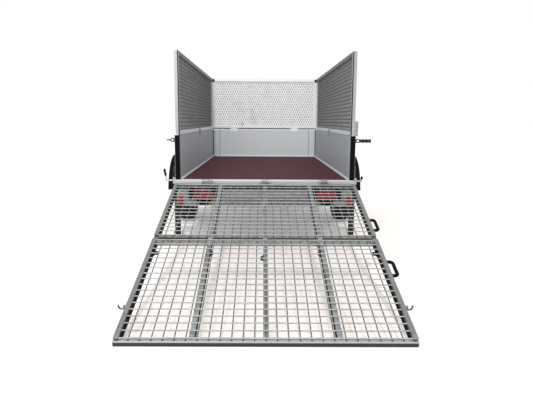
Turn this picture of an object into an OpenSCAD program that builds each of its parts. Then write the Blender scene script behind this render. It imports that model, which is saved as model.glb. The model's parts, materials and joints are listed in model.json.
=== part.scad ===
// Single-axle car trailer with mesh side extensions and a two-part folding mesh ramp.
// Lengths are in mm. X is to the right seen from behind, Y points forward to the coupling, Z is up.
// Modules measure Y from the bed's rear edge. set_down() puts the origin on the ground, in the middle.

/* [Load bed] */
// Inside length of the bed
bed_l = 2500; // [2200:10:2800]
// Inside width of the bed
bed_w = 1266; // [1150:2:1400]
// Height of the floor's top above the ground
floor_z = 530; // [515:1:560]
// Thickness of the plywood floor
floor_t = 15; // [9:1:18]
// Height of the lower walls above the floor
wall_h = 330; // [280:5:400]
// Thickness of the lower walls and of the mesh frames
wall_t = 30; // [26:1:36]
// How far the walls reach below the floor's top
wall_drop = 40; // [30:1:50]
// Depth of the aluminium profile along the floor's rear edge
edge_d = 39; // [30:1:50]
// Height of that profile
edge_h = 27; // [20:1:30]
// Width of the corner strips along the floor
trim_w = 12; // [8:1:30]
// Width of a rear post across the trailer
post_w = 38; // [34:1:50]
// Width of the black seal on a rear post
seal_w = 29; // [24:1:34]
// Thickness of the black seal
seal_t = 6; // [4:1:10]

/* [Mesh extensions] */
// Height of the mesh frames
ext_h = 604; // [450:2:700]
// Gap between a lower wall and the mesh frame above it
ext_gap = 5; // [2:1:8]
// Width of a mesh frame's tube
ext_tube = 30; // [24:1:40]
// Thickness of the expanded metal
sheet_t = 3; // [2:0.5:5]
// Length of a diamond across its short way
diamond_w = 50; // [40:1:70]
// Length of a diamond along its long way, upright
diamond_h = 125; // [100:5:160]
// Width of a strand of the expanded metal
strand_w = 11; // [8:1:14]

/* [Chassis] */
// Distance of a chassis rail's middle from the centre line
rail_x = 430; // [380:5:480]
// Width of a chassis rail
rail_w = 40; // [30:1:60]
// Height of a chassis rail
rail_h = 60; // [50:1:70]
// Width of a cross-member
cross_w = 40; // [30:1:60]
// Height of a cross-member
cross_h = 40; // [30:1:50]
// Width of a drawbar tube
bar_w = 40; // [30:1:50]
// Height of a drawbar tube
bar_h = 60; // [50:1:80]
// Distance from the axle beam's middle to the drawbar tubes' rear ends
bar_gap = 175; // [135:5:395]
// Distance of a drawbar tube's middle from the centre line at its tip
bar_tip_x = 46; // [40:1:60]
// Distance from the front wall to the coupling ball's middle
drawbar_reach = 1130; // [1000:10:1300]

/* [Wheels and axle] */
// Where the wheels stand, ahead of the rear edge
axle_y = 1165; // [1120:5:1210]
// Radius of a tyre
wheel_r = 289; // [280:1:295]
// Width of a tyre
tyre_w = 160; // [145:1:175]
// Gap between the wall's outside and a tyre
tyre_gap = 9; // [7:1:30]
// Radius of the rim's bead seat
rim_r = 165; // [160:1:170]
// Radius of a wheel spindle
spindle_r = 15; // [12:0.5:18]
// Width of the torsion axle's beam across its flats
beam_af = 72; // [60:1:76]
// Distance from the beam's middle back to the spindle
arm_run = 140; // [120:5:160]
// Thickness of a trailing arm
arm_t = 32; // [24:1:36]
// Outside radius of a mudguard
guard_r = 347; // [340:1:370]
// Width of a mudguard
guard_w = 221; // [205:1:250]
// Thickness of a mudguard's shell
guard_t = 3; // [2:0.5:5]
// Depth of the lips along a mudguard's edges
guard_lip = 24; // [10:1:30]
// Angle above the axle at which a mudguard ends
guard_end = 8.5; // [5:0.5:30]

/* [Ramp] */
// Width of the ramp
ramp_w = 1330; // [1250:10:1400]
// Length of the ramp from its hinge axis to its end
ramp_l = 1694; // [1660:2:1700]
// Distance from the hinge axis to the middle of the gap at the fold
fold_s = 799; // [795:1:820]
// Fold axis past the middle of that gap, down the slope
fold_past = 31; // [28:1:36]
// Hinge axis behind the bed's rear edge
hinge_back = 70; // [66:1:80]
// Hinge axis below the floor's top
hinge_drop = 2; // [0:1:8]
// Mesh top below the hinge axis
mesh_drop = 15; // [14:0.5:20]
// Side of a ramp frame's square tube
ramp_tube = 25; // [20:1:30]
// Width of the ramp's first tube, under the hinges
head_tube = 40; // [30:1:50]
// How far the ramp's first tube reaches past the hinge axis
head_over = 20; // [12:1:24]
// Diameter of the mesh wires
wire_d = 6; // [4:0.5:7]
// Distance between mesh wires
wire_pitch = 50; // [40:1:60]
// Gap between the two sections' tubes at the fold
fold_gap = 34; // [30:1:40]
// Fold axis below the underside of the frames
fold_drop = 18; // [16:1:22]
// Distance of the outer bed hinges from the centre line
hinge_x = 435; // [380:5:480]
// Width of a bed hinge
hinge_w = 73; // [60:1:90]
// Thickness of the black strip on the ramp's end
end_strip_t = 6; // [4:1:10]
// Place of the upper handle, as a share of the upper section's length
upper_grip_at = 0.765; // [0.6:0.005:0.85]
// Place of the lower handle, as a share of the lower section's length
lower_grip_at = 0.32; // [0.2:0.005:0.5]
// Place of the hooks, as a share of the lower section's length
hook_at = 0.705; // [0.6:0.005:0.85]
// Length of a handle
handle_l = 153; // [120:1:180]

/* [Rear stands] */
// Distance of a stand's middle from the wall's outside
stand_off = 52; // [46:1:85]
// Where the stands are, ahead of the rear edge
stand_y = 320; // [280:5:400]
// Radius of a stand's tube
stand_r = 24; // [20:1:30]
// Height of a stand's top
stand_top = 600; // [560:10:700]

/* [Jockey wheel] */
// Where the jockey wheel's tube stands, ahead of the front wall
jockey_ahead = 620; // [520:10:720]
// Distance of that tube's middle from the drawbar's side
jockey_off = 62; // [58:1:75]
// Outside radius of the jockey wheel's outer tube
jockey_r = 24; // [22:1:30]
// Radius of the jockey wheel
jockey_wheel_r = 100; // [90:1:110]
// Width of the jockey wheel
jockey_wheel_w = 50; // [40:1:60]
// Height of the outer tube's top
jockey_top = 830; // [760:10:900]

/* [Lamps] */
// How far the light board reaches past the walls
board_over = 7; // [0:1:20]
// Height of the light board
board_h = 167; // [150:1:190]
// Light board ahead of the bed's rear edge
board_y = 53; // [50:1:70]
// Distance of a lamp's middle from the bed's side
lamp_in = 169; // [150:1:220]
// Width of a lamp's housing
lamp_w = 224; // [180:2:240]
// Height of a lamp's housing
lamp_h = 122; // [110:1:130]
// Depth of a lamp's housing
lamp_d = 44; // [30:1:46]

/* [Fits] */
// Gap between a sliding tube and what guides it
slip = 0.3; // [0.2:0.05:0.4]
// Radial running clearance of a pin in its eye
run = 0.05; // [0.03:0.01:0.08]
// Gap between a mesh wire and what it lies on
lay = 0.1; // [0.05:0.05:0.2]

/* [Hidden] */
$fn = 48;

half_w = bed_w / 2;
out_w = half_w + wall_t;
wall_z = floor_z - wall_drop;
wall_top = floor_z + wall_h;
front_y = bed_l + wall_t;
ext_z = wall_top + ext_gap;
cross_z = floor_z - floor_t - cross_h;
rail_z = cross_z - rail_h;
sheet_d = 3;
post_x = half_w + 2;

// Axle: the beam hangs under the rails, the spindles behind and below it
saddle_t = 15;
beam_z = rail_z - saddle_t - beam_af / 2;
beam_y = axle_y + arm_run;
tyre_x = out_w + tyre_gap + tyre_w / 2;
arm_out = out_w + tyre_gap - 8;
hub_r = 46;
disc_x = 22;
disc_t = 5;
spindle_end = tyre_x + disc_x + 12;

// Drawbar: both tubes lie under the rails and the front cross-member
bar_top = rail_z;
bar_start = beam_y + bar_gap;
coupling_y = front_y + drawbar_reach;
socket_r = 25.3;
socket_out = 38;
socket_l = 44;
nose_y = coupling_y + socket_out;
bar_tip_gap = 130;
bar_tip_y = coupling_y - bar_tip_gap;
bar_in = (rail_x - bar_tip_x) / (bar_tip_y - bar_start);
bar_turn = atan(bar_in);
function bar_x(y) = rail_x - (y - bar_start) * bar_in;

// Ramp: heights are measured along its normal from the hinge axis, lengths down the slope
hinge_z = floor_z - hinge_drop;
tube_top = -mesh_drop - 2 * wire_d - 2 * lay;
tube_low = tube_top - ramp_tube;
slope = asin(hinge_z / norm([ramp_l, tube_low])) - atan(-tube_low / ramp_l);
fold_n = tube_low - fold_drop;
fold_axis = fold_s + fold_past;
upper_end = fold_s - fold_gap / 2;
lower_start = fold_s + fold_gap / 2;
lower_end = ramp_l - end_strip_t;
ramp_bars = [-1, -0.5, 0, 0.5, 1];
bar_off = ramp_w / 2 - ramp_tube / 2;
knuckle_r = 10;
hinge_pin_r = 6;
fold_pin_r = 5;
cheek_t = 8;
ramp_end_y = -hinge_back - ramp_l * cos(slope) - tube_top * sin(slope);

// Jockey wheel beside the left drawbar tube
jockey_y = front_y + jockey_ahead;
jockey_x = -(bar_x(jockey_y) + bar_w / 2 / cos(bar_turn) + jockey_off);
jockey_in_r = jockey_r - 4;
jockey_low = rail_z - 6;
fork_top = 2 * jockey_wheel_r + 38;
fork_t = 5;
trail = 34;
stem_r = 8;
stem_l = 20;

mid_y = (nose_y + ramp_end_y) / 2;

// Helpers

module set_down() translate([0, -mid_y, 0]) children();

module mirrored() {
    children();
    mirror([1, 0, 0]) children();
}

// A flat outline in Y and Z, drawn out along X about the centre line
module along_x(l) rotate([90, 0, 90]) translate([0, 0, -l / 2]) linear_extrude(l) children();

// A flat outline in X and Z, drawn out along Y from the rear
module along_y(l) translate([0, l, 0]) rotate([90, 0, 0]) linear_extrude(l) children();

// A round bar between two points
module rod(p, q, r) {
    d = q - p;
    translate(p) rotate([0, acos(d.z / norm(d)), atan2(d.y, d.x)]) cylinder(h = norm(d), r = r);
}

// A flat outline with round corners
module round_rect(w, h, r) {
    translate([-w / 2, -h / 2 + r]) square([w, h - 2 * r]);
    translate([-w / 2 + r, -h / 2]) square([w - 2 * r, h]);
    for (x = [-1, 1], y = [-1, 1])
        translate([x * (w / 2 - r), y * (h / 2 - r)]) circle(r);
}

// The ramp's own frame: Y up the slope from the hinge axis, Z along its normal
module on_ramp() translate([0, -hinge_back, hinge_z]) rotate([slope, 0, 0]) children();

// A tube of the ramp from s0 to s1 down the slope, x0 to x1 across
module ramp_bar(x0, x1, s0, s1)
    translate([x0, -s1, tube_low]) cube([x1 - x0, s1 - s0, ramp_tube]);

// Load bed

module floor_panel() color("#4a2a30")
    translate([-half_w, edge_d, floor_z - floor_t]) cube([bed_w, bed_l - edge_d, floor_t]);

module floor_edge() color("#d8dadb") along_x(2 * out_w) difference() {
    nose_r = 5;
    union() {
        translate([nose_r, floor_z - edge_h]) square([edge_d - nose_r, edge_h]);
        translate([0, floor_z - edge_h]) square([nose_r, edge_h - nose_r]);
        translate([nose_r, floor_z - nose_r]) circle(nose_r);
    }
    for (k = [1:3])
        translate([k * edge_d / 4, floor_z - 1.5]) square([3, 2]);
}

// Angled corner strips where the floor meets the walls
module trim_profile() {
    lip = trim_w / 4;
    polygon([[0, 0], [trim_w, 0], [trim_w, lip], [lip, trim_w], [0, trim_w]]);
}

module floor_trims() color("#aeb2b4") {
    mirrored() translate([-half_w, edge_d, floor_z]) along_y(bed_l - edge_d) trim_profile();
    translate([0, bed_l, floor_z]) mirror([0, 1, 0]) along_x(bed_w - 2 * trim_w) trim_profile();
}

// Section of a lower wall: an extruded board with grooves on both faces
module wall_profile() {
    groove_w = 5;
    groove_d = 1.5;
    grooves = 4;
    difference() {
        translate([0, wall_z]) square([wall_t, wall_top - wall_z]);
        for (k = [1:grooves]) {
            z = floor_z + k * wall_h / (grooves + 1) - groove_w / 2;
            translate([-1, z]) square([groove_d + 1, groove_w]);
            translate([wall_t - groove_d, z]) square([groove_d + 1, groove_w]);
        }
    }
}

module side_wall() color("#85898b")
    translate([half_w, edge_d, 0]) along_y(front_y - edge_d) wall_profile();

module side_wall_left() mirror([1, 0, 0]) side_wall();

module side_wall_right() side_wall();

module front_wall() color("#b4b8b9") translate([0, bed_l, 0]) along_x(bed_w) wall_profile();

// Upright strips that cover the joint of front wall and side walls, with a rib along the edge
module corner_trims() color("#c3c7c8") mirrored() {
    strip_w = 80;
    rib_w = 8;
    rib_d = 4;
    translate([half_w - strip_w, bed_l - sheet_d, floor_z + trim_w])
        cube([strip_w, sheet_d, wall_h - trim_w]);
    translate([half_w - strip_w, bed_l - sheet_d - rib_d, floor_z + trim_w])
        cube([rib_w, rib_d + 1, wall_h - trim_w]);
}

module rear_posts() color("#b9bdbe") mirrored()
    translate([post_x, seal_t, floor_z]) cube([post_w, edge_d - seal_t, wall_h]);

module post_seals() color("#17191a") mirrored()
    translate([post_x, 0, floor_z]) cube([seal_w, seal_t, wall_h]);

// Ring on the outside of each rear post with a lever on it.
// Columns: side, length and radius of the lever, number of its collars
latch_rows = [[-1, 30, 4.5, 0], [1, 84, 12, 3]];

module post_latches() color("#3a3d3e") for (row = latch_rows) mirror([row[0] < 0 ? 1 : 0, 0, 0]) {
    ring_r = 12;
    ring_rod = 4;
    latch_drop = 35;
    base_t = 6;
    base_w = 22;
    base_h = 30;
    collar_w = 7;
    collar_over = 3;
    step = row[1] / max(row[3], 1);
    translate([post_x + post_w, edge_d / 2, wall_top - latch_drop]) {
        translate([0, -base_w / 2, -base_h / 2]) cube([base_t, base_w, base_h]);
        translate([base_t + ring_r, 0, 0]) {
            rotate([90, 0, 0]) rotate_extrude() translate([ring_r, 0]) circle(ring_rod);
            translate([ring_r, 0, 0]) rotate([0, 90, 0]) {
                cylinder(h = row[1], r = row[2]);
                if (row[3] > 0) for (k = [1:row[3]])
                    translate([0, 0, k * step - collar_w]) cylinder(h = collar_w, r = row[2] + collar_over);
            }
        }
    }
}

// Rope hooks along the outside of the side walls, at shares of the bed's length
rope_places = [0.045, 0.28, 0.66, 0.96];
rope_z = floor_z + 0.65 * wall_h;

module rope_hooks() color("#9aa0a2") mirrored() for (k = rope_places) translate([out_w, k * bed_l, rope_z]) {
    plate_w = 34;
    plate_h = 44;
    plate_t = 3;
    rope_r = 4;
    rope_out = 14;
    rope_bend = 9;
    rope_tail = 14;
    translate([0, -plate_w / 2, -plate_h / 2]) cube([plate_t, plate_w, plate_h]);
    translate([0, 0, -rope_bend]) {
        rod([plate_t - 1, 0, 0], [rope_out, 0, 0], rope_r);
        translate([rope_out, 0, rope_bend]) rotate([90, 0, 0]) rotate([0, 0, -90])
            rotate_extrude(angle = 90) translate([rope_bend, 0]) circle(rope_r);
        rod([rope_out + rope_bend, 0, rope_bend], [rope_out + rope_bend, 0, rope_bend + rope_tail], rope_r);
    }
}

// Mesh extensions

// A frame standing in X and Z, its lower corner at the origin
module ext_frame(l) along_y(wall_t) difference() {
    square([l, ext_h]);
    translate([ext_tube, ext_tube]) square([l - 2 * ext_tube, ext_h - 2 * ext_tube]);
}

// Expanded metal that fills such a frame: staggered upright diamonds
module ext_sheet(l) {
    w = l - 2 * ext_tube;
    h = ext_h - 2 * ext_tube;
    cols = floor((w - strand_w) / diamond_w);
    rows = floor((h - 2 * strand_w) / (diamond_h / 2)) - 1;
    half_x = (diamond_w - strand_w) / 2;
    half_z = half_x * diamond_h / diamond_w;
    x0 = (w - (cols - 1) * diamond_w) / 2;
    z0 = (h - (rows - 1) * diamond_h / 2) / 2;
    translate([ext_tube, 0, ext_tube]) along_y(sheet_t) difference() {
        square([w, h]);
        for (j = [0:rows - 1], i = [0:cols - 1 - j % 2])
            translate([x0 + (i + (j % 2) / 2) * diamond_w, z0 + j * diamond_h / 2])
                polygon([[half_x, 0], [0, half_z], [-half_x, 0], [0, -half_z]]);
    }
}

// Stands a frame's outline along the right wall, its inside towards the bed
module on_side() translate([half_w, 0, ext_z]) mirror([1, 0, 0]) rotate([0, 0, 90]) children();

sheet_in = wall_t - 8 - sheet_t;
front_l = bed_w - 2 * slip;

module upper_frame_right() color("#c9cccd") on_side() ext_frame(front_y);

module upper_frame_left() mirror([1, 0, 0]) upper_frame_right();

module upper_frame_front() color("#c9cccd") translate([-front_l / 2, bed_l, ext_z]) ext_frame(front_l);

module upper_mesh_right() color("#9fa4a6") on_side() translate([0, sheet_in, 0]) ext_sheet(front_y);

module upper_mesh_left() mirror([1, 0, 0]) upper_mesh_right();

module upper_mesh_front() color("#d5d8d8")
    translate([-front_l / 2, bed_l + sheet_in, ext_z]) ext_sheet(front_l);

// Plates that tie the mesh frames to the lower walls, and stays on the rear posts
module upper_brackets() color("#b5b9ba") {
    plate_w = 85;
    plate_h = 60;
    plate_t = 4;
    stay_w = 24;
    stay_h = 112;
    mid_z = wall_top + ext_gap / 2;
    front_x = 0.585 * half_w;
    side_y = 0.48 * bed_l;
    mirrored() {
        translate([front_x - plate_w / 2, bed_l - plate_t, mid_z - plate_h / 2])
            cube([plate_w, plate_t, plate_h]);
        translate([half_w - plate_t, side_y - plate_w / 2, mid_z - plate_h / 2])
            cube([plate_t, plate_w, plate_h]);
    }
    translate([out_w, 0, wall_top]) cube([stay_w, edge_d, stay_h]);
}

// Chassis

module chassis_rails() color("#9ea3a5") mirrored()
    translate([rail_x - rail_w / 2, board_y + sheet_d + cross_w, rail_z])
        cube([rail_w, bed_l - cross_w - board_y - sheet_d - cross_w, rail_h]);

// Cross-members under the floor. Columns: rear face, depth below the floor
module cross_members() color("#a5aaac") {
    first = board_y + sheet_d;
    last = bed_l - cross_w;
    deep = cross_h + rail_h;
    mids = 3;
    rows = concat(
        [[first, deep], [last, deep]],
        [for (k = [1:mids]) [first + k * (last - first) / (mids + 1), cross_h]]
    );
    for (row = rows)
        translate([-half_w, row[0], floor_z - floor_t - row[1]]) cube([bed_w, cross_w, row[1]]);
}

module drawbar_tubes() color("#9ea3a5") mirrored() {
    l = norm([rail_x - bar_tip_x, bar_tip_y - bar_start]);
    translate([rail_x, bar_start, bar_top - bar_h]) rotate([0, 0, bar_turn])
        translate([-bar_w / 2, 0, 0]) cube([bar_w, l, bar_h]);
}

// Pressed coupling on a plate over the drawbar's tip, its socket open downwards
coupling_plate_t = 8;
neck_h = 34;
neck_top = bar_top + coupling_plate_t + neck_h;
neck_seat = neck_top - 1;

module coupling_head() color("#8c9193") difference() {
    plate_l = 190;
    neck_w = 58;
    neck_in = 30;
    roof_t = 16;
    head_h = socket_l + roof_t;
    crown_r = 14;
    socket_z = neck_top - head_h;
    neck_y = bar_tip_y - plate_l + neck_in;
    union() {
        translate([-bar_tip_x - bar_w, bar_tip_y - plate_l, bar_top])
            cube([2 * (bar_tip_x + bar_w), plate_l, coupling_plate_t]);
        along_x(neck_w) polygon([
            [neck_y, bar_top + coupling_plate_t], [coupling_y, bar_top + coupling_plate_t],
            [coupling_y, neck_seat], [neck_y + neck_h, neck_seat], [neck_y, neck_top - neck_h / 2]
        ]);
        translate([0, coupling_y, socket_z]) rotate_extrude() {
            square([socket_out, head_h - crown_r]);
            square([socket_out - crown_r, head_h]);
            translate([socket_out - crown_r, head_h - crown_r]) circle(crown_r);
        }
    }
    translate([0, coupling_y, socket_z - 1]) cylinder(h = socket_l + 1, r = socket_r);
}

// Hand lever on the coupling's neck: a foot, a bowed arm and a round grip
module coupling_lever() color("#24272a") {
    foot_l = 48;
    foot_h = 18;
    foot_w = 32;
    arm_w = 26;
    arm_l = 150;
    arm_h = 11;
    arm_rise = 20;
    end_r = 10;
    arm_y = coupling_y - socket_out;
    arm_z = neck_seat + foot_h;
    end_y = arm_y - arm_l;
    end_z = arm_z + arm_rise;
    translate([-foot_w / 2, arm_y - foot_l, neck_seat]) cube([foot_w, foot_l, foot_h]);
    along_x(arm_w) {
        polygon([[arm_y, arm_z - 1], [arm_y, arm_z + arm_h], [end_y, end_z + arm_h], [end_y, end_z]]);
        translate([end_y, end_z + arm_h / 2]) circle(end_r);
    }
}

// Axle

module axle_beam() color("#7d8284") {
    translate([0, beam_y, beam_z]) rotate([0, 90, 0]) rotate([0, 0, 30])
        cylinder(h = 2 * (arm_out - arm_t), r = beam_af / sqrt(3), center = true, $fn = 6);
    saddle_w = 110;
    saddle_l = 96;
    mirrored() translate([rail_x - saddle_w / 2, beam_y - saddle_l / 2, beam_z + beam_af / 2])
        cube([saddle_w, saddle_l, saddle_t]);
}

// Trailing arms with the spindles that carry the wheels
module axle_arms() color("#6f7476") mirrored() {
    arm_l = norm([arm_run, beam_z - wheel_r]);
    arm_dip = atan((beam_z - wheel_r) / arm_run);
    arm_h = 56;
    translate([arm_out - arm_t, beam_y, beam_z]) {
        rotate([0, 90, 0]) cylinder(h = arm_t, r = arm_h / 2 + 8);
        rotate([arm_dip, 0, 0]) translate([0, -arm_l, -arm_h / 2]) cube([arm_t, arm_l, arm_h]);
    }
    translate([arm_out - arm_t, axle_y, wheel_r]) rotate([0, 90, 0]) {
        cylinder(h = arm_t, r = arm_h / 2);
        cylinder(h = spindle_end - arm_out + arm_t, r = spindle_r);
    }
}

// Turns a section with its radius in X into a body about the wheel's axis
module about_axle() translate([tyre_x, axle_y, wheel_r]) rotate([0, 90, 0]) children();

module tyre_right() color("#1b1c1d") about_axle() rotate_extrude() {
    half = tyre_w / 2;
    bead = half - 19;
    groove_w = 7;
    groove_d = 6;
    difference() {
        polygon([
            [rim_r, -bead], [rim_r + 14, -bead], [rim_r + 30, -half + 5], [rim_r + 58, -half],
            [wheel_r - 40, -half + 3], [wheel_r - 22, -half + 11], [wheel_r - 9, -half + 26],
            [wheel_r - 2.5, -half + 48], [wheel_r, -half + 66],
            [wheel_r, half - 66], [wheel_r - 2.5, half - 48],
            [wheel_r - 9, half - 26], [wheel_r - 22, half - 11], [wheel_r - 40, half - 3],
            [rim_r + 58, half], [rim_r + 30, half - 5], [rim_r + 14, bead], [rim_r, bead]
        ]);
        for (k = [-1:1])
            translate([wheel_r - groove_d, k * 27 - groove_w / 2]) square([groove_d + 1, groove_w]);
    }
}

module tyre_left() mirror([1, 0, 0]) tyre_right();

// Pressed steel rim with its hub: barrel, flanges, dished disc with holes, cap
module rim_right() color("#b7babb") about_axle() difference() {
    bead = tyre_w / 2 - 19;
    barrel_t = 6;
    flange_t = 5;
    flange_h = 11;
    hub_in = -(tyre_x - arm_out) + 12;
    cap_l = 26;
    disc_holes = 12;
    hole_r = 10;
    union() {
        rotate_extrude() {
            translate([rim_r - lay - barrel_t, -bead - lay]) square([barrel_t, 2 * (bead + lay)]);
            for (k = [0, 1])
                translate([rim_r - lay - barrel_t, k == 0 ? -bead - lay - flange_t : bead + lay])
                    square([barrel_t + flange_h, flange_t]);
            translate([hub_r - 4, disc_x]) square([rim_r - barrel_t - hub_r + 4, disc_t]);
            polygon([
                [0, hub_in], [hub_r, hub_in], [hub_r, disc_x + disc_t + 6],
                [hub_r - 14, disc_x + cap_l], [0, disc_x + cap_l + 2]
            ]);
        }
    }
    translate([0, 0, hub_in - 1]) cylinder(h = spindle_end - tyre_x - hub_in + 2, r = spindle_r + run);
    for (k = [0:disc_holes - 1])
        rotate([0, 0, k * 360 / disc_holes]) translate([(rim_r + hub_r) / 2 + 12, 0, disc_x - 1])
            cylinder(h = disc_t + 2, r = hole_r);
}

module rim_left() mirror([1, 0, 0]) rim_right();

// Arched mudguard with a turned-in lip along both edges
module mudguard_right() color("#141516")
    translate([out_w, axle_y, wheel_r]) rotate([0, 90, 0]) rotate([0, 0, 90 + guard_end])
        rotate_extrude(angle = 180 - 2 * guard_end) {
            translate([guard_r - guard_t, 0]) square([guard_t, guard_w]);
            translate([guard_r - guard_lip, 0]) square([guard_lip, guard_t]);
            translate([guard_r - guard_lip, guard_w - guard_t]) square([guard_lip, guard_t]);
        }

module mudguard_left() mirror([1, 0, 0]) mudguard_right();

// Lamps

board_w = 2 * (out_w + board_over);
board_low = wall_z - board_h;

lamp_x = half_w - lamp_in;
lamp_top = floor_z - edge_h - 6;
bump_r = 52;
reflector_w = 38;
reflector_in = 6;

// Sheet behind the lamps, its foot folded up into lips beside them
module light_board() color("#a9aeb0") {
    lip = 14;
    lip_h = 46;
    lip_gap = 8;
    near = lamp_x - bump_r - lip_gap;
    far = lamp_x + bump_r + lip_gap;
    edge = board_w / 2 - reflector_w - reflector_in - lip_gap;
    along_x(board_w) translate([board_y, board_low]) square([sheet_d, board_h]);
    for (span = [[-near, near], [far, edge], [-edge, -far]])
        translate([(span[0] + span[1]) / 2, board_y - lip, board_low]) along_x(span[1] - span[0]) {
            square([lip + 1, sheet_d]);
            square([sheet_d, lip_h]);
        }
}

module lamp_housings() color("#161718") mirrored() translate([lamp_x, board_y - lamp_d, 0]) {
    along_y(lamp_d) translate([0, lamp_top - lamp_h / 2]) round_rect(lamp_w, lamp_h, 14);
    translate([0, 10, lamp_top - lamp_h + 6]) rotate([-90, 0, 0])
        difference() {
            cylinder(h = lamp_d - 10, r = bump_r);
            translate([-bump_r - 1, -bump_r - 1, -1]) cube([2 * bump_r + 2, bump_r + 1, lamp_d]);
        }
}

// Half outline of a triangular reflector with a blunt top and full sides. Columns: half width, height
lens_rows = [[75, 0], [80, 12], [77, 28], [63, 54], [48, 78], [33, 104]];

module lamp_reflectors() color("#b0141c") mirrored() {
    lens_t = 5;
    lens_up = 8;
    last = len(lens_rows) - 1;
    translate([lamp_x, board_y - lamp_d - lens_t, lamp_top - lamp_h + lens_up]) along_y(lens_t)
        polygon(concat(lens_rows, [for (k = [last:-1:0]) [-lens_rows[k][0], lens_rows[k][1]]]));
}

module side_reflectors() color("#b8202a") mirrored() {
    h = 72;
    t = 8;
    foot = 11;
    translate([board_w / 2 - reflector_w - reflector_in, board_y - t, board_low + foot])
        cube([reflector_w, t, h]);
}

// Rear stands

stand_x = out_w + stand_off;
clamp_z = floor_z - 68;
clamp_h = 50;
collar_r = stand_r + 9;

// Collar round each stand's tube on a bracket at the wall
module stand_clamps() color("#b4b8ba") mirrored() difference() {
    union() {
        translate([stand_x, stand_y, clamp_z]) cylinder(h = clamp_h, r = collar_r);
        translate([out_w, stand_y - 22, clamp_z]) cube([stand_x - out_w, 44, clamp_h]);
    }
    translate([stand_x, stand_y, clamp_z - 1]) cylinder(h = clamp_h + 2, r = stand_r + slip);
}

// Clamp levers. Columns: side, elbow out from the tube, lean and rise of the rod, length of the grip
lever_rows = [[-1, 85, 6, 36, 58], [1, 70, 3, 14, 24]];
lever_r = 6;
grip_r = 9;

function lever_elbow(row) = [row[0] * (stand_x + row[1]), stand_y, clamp_z + clamp_h / 2];
function lever_lean(row) = [row[0] * row[2], 0, row[3]];

module stand_levers() color("#aab0b2") for (row = lever_rows) {
    elbow = lever_elbow(row);
    boss_l = 16;
    rod([row[0] * (stand_x + collar_r + slip), elbow.y, elbow.z], elbow, lever_r);
    translate(elbow) rotate([90, 0, 0]) cylinder(h = boss_l, r = lever_r + 2, center = true);
    rod(elbow, elbow + lever_lean(row), lever_r - 1);
}

module lever_grips() color("#111213") for (row = lever_rows) {
    lean = lever_lean(row);
    way = lean / norm(lean);
    foot = lever_elbow(row) + lean + way * slip;
    rod(foot, foot + way * row[4], grip_r);
}

module stand_leg_right() color("#17191b") translate([stand_x, stand_y, 0]) {
    foot_r = 46;
    foot_t = 8;
    cylinder(h = foot_t, r = foot_r);
    cylinder(h = stand_top, r = stand_r);
}

module stand_leg_left() mirror([1, 0, 0]) stand_leg_right();

// Jockey wheel

module jockey_clamp() color("#9da2a4") difference() {
    bar_side = -(bar_x(jockey_y) + bar_w / 2 / cos(bar_turn));
    arm_w = 46;
    arm_h = 12;
    collar_t = 8;
    collar_h = 50;
    union() {
        translate([jockey_x, jockey_y, bar_top]) cylinder(h = collar_h, r = jockey_r + collar_t);
        translate([jockey_x, jockey_y - arm_w / 2, bar_top])
            cube([bar_side - jockey_x + bar_w - 4, arm_w, arm_h]);
    }
    translate([jockey_x, jockey_y, bar_top - 1]) cylinder(h = collar_h + 2, r = jockey_r + lay);
}

// Outer tube with its gear head and crank
module jockey_tube() color("#b8bcbe") difference() {
    head_h = 30;
    head_low = jockey_top - 10;
    head_top = head_low + head_h;
    shaft_r = 6;
    shaft_h = 30;
    crank_l = 104;
    crank_grip_r = 9;
    crank_grip_l = 70;
    crank_z = head_top + shaft_h - shaft_r;
    union() {
        translate([jockey_x, jockey_y, jockey_low]) cylinder(h = jockey_top - jockey_low, r = jockey_r);
        translate([jockey_x, jockey_y, head_low]) cylinder(h = head_h, r = jockey_r + 5);
        translate([jockey_x, jockey_y, 0]) {
            rod([0, 0, head_top - 1], [0, 0, head_top + shaft_h], shaft_r + 1);
            rod([0, 0, crank_z], [-crank_l - crank_grip_r / 2, 0, crank_z], shaft_r);
            rod([-crank_l, 0, crank_z], [-crank_l, 0, crank_z + crank_grip_l], crank_grip_r);
        }
    }
    translate([jockey_x, jockey_y, jockey_low - 1])
        cylinder(h = head_low - 10 - jockey_low + 1, r = jockey_in_r + slip);
}

module jockey_leg() color("#a9aeb0") translate([jockey_x, jockey_y, 0]) difference() {
    leg_drop = 190;
    translate([0, 0, fork_top + slip]) cylinder(h = jockey_top - leg_drop - fork_top, r = jockey_in_r);
    translate([0, 0, fork_top - 1]) cylinder(h = stem_l + 3, r = stem_r + run);
}

module jockey_fork() color("#9a9fa1") translate([jockey_x, jockey_y, 0]) {
    inside = jockey_wheel_w / 2 + 5;
    plate_h = fork_top - jockey_wheel_r;
    crown_t = 8;
    crown_d = 52;
    translate([0, 0, fork_top - crown_t]) cylinder(h = crown_t + stem_l, r = stem_r);
    translate([-inside - fork_t, -crown_d / 2, fork_top - crown_t])
        cube([2 * (inside + fork_t), crown_d, crown_t]);
    mirrored() translate([inside, 0, jockey_wheel_r]) {
        rotate([0, 90, 0]) translate([0, -trail, 0]) cylinder(h = fork_t, r = 17);
        rotate([90, 0, 90]) linear_extrude(fork_t)
            polygon([[-trail - 17, 0], [-trail + 17, 0], [26, plate_h - 8], [26, plate_h], [-26, plate_h]]);
    }
    translate([-inside, -trail, jockey_wheel_r]) rotate([0, 90, 0]) cylinder(h = 2 * inside, r = 6);
}

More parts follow.
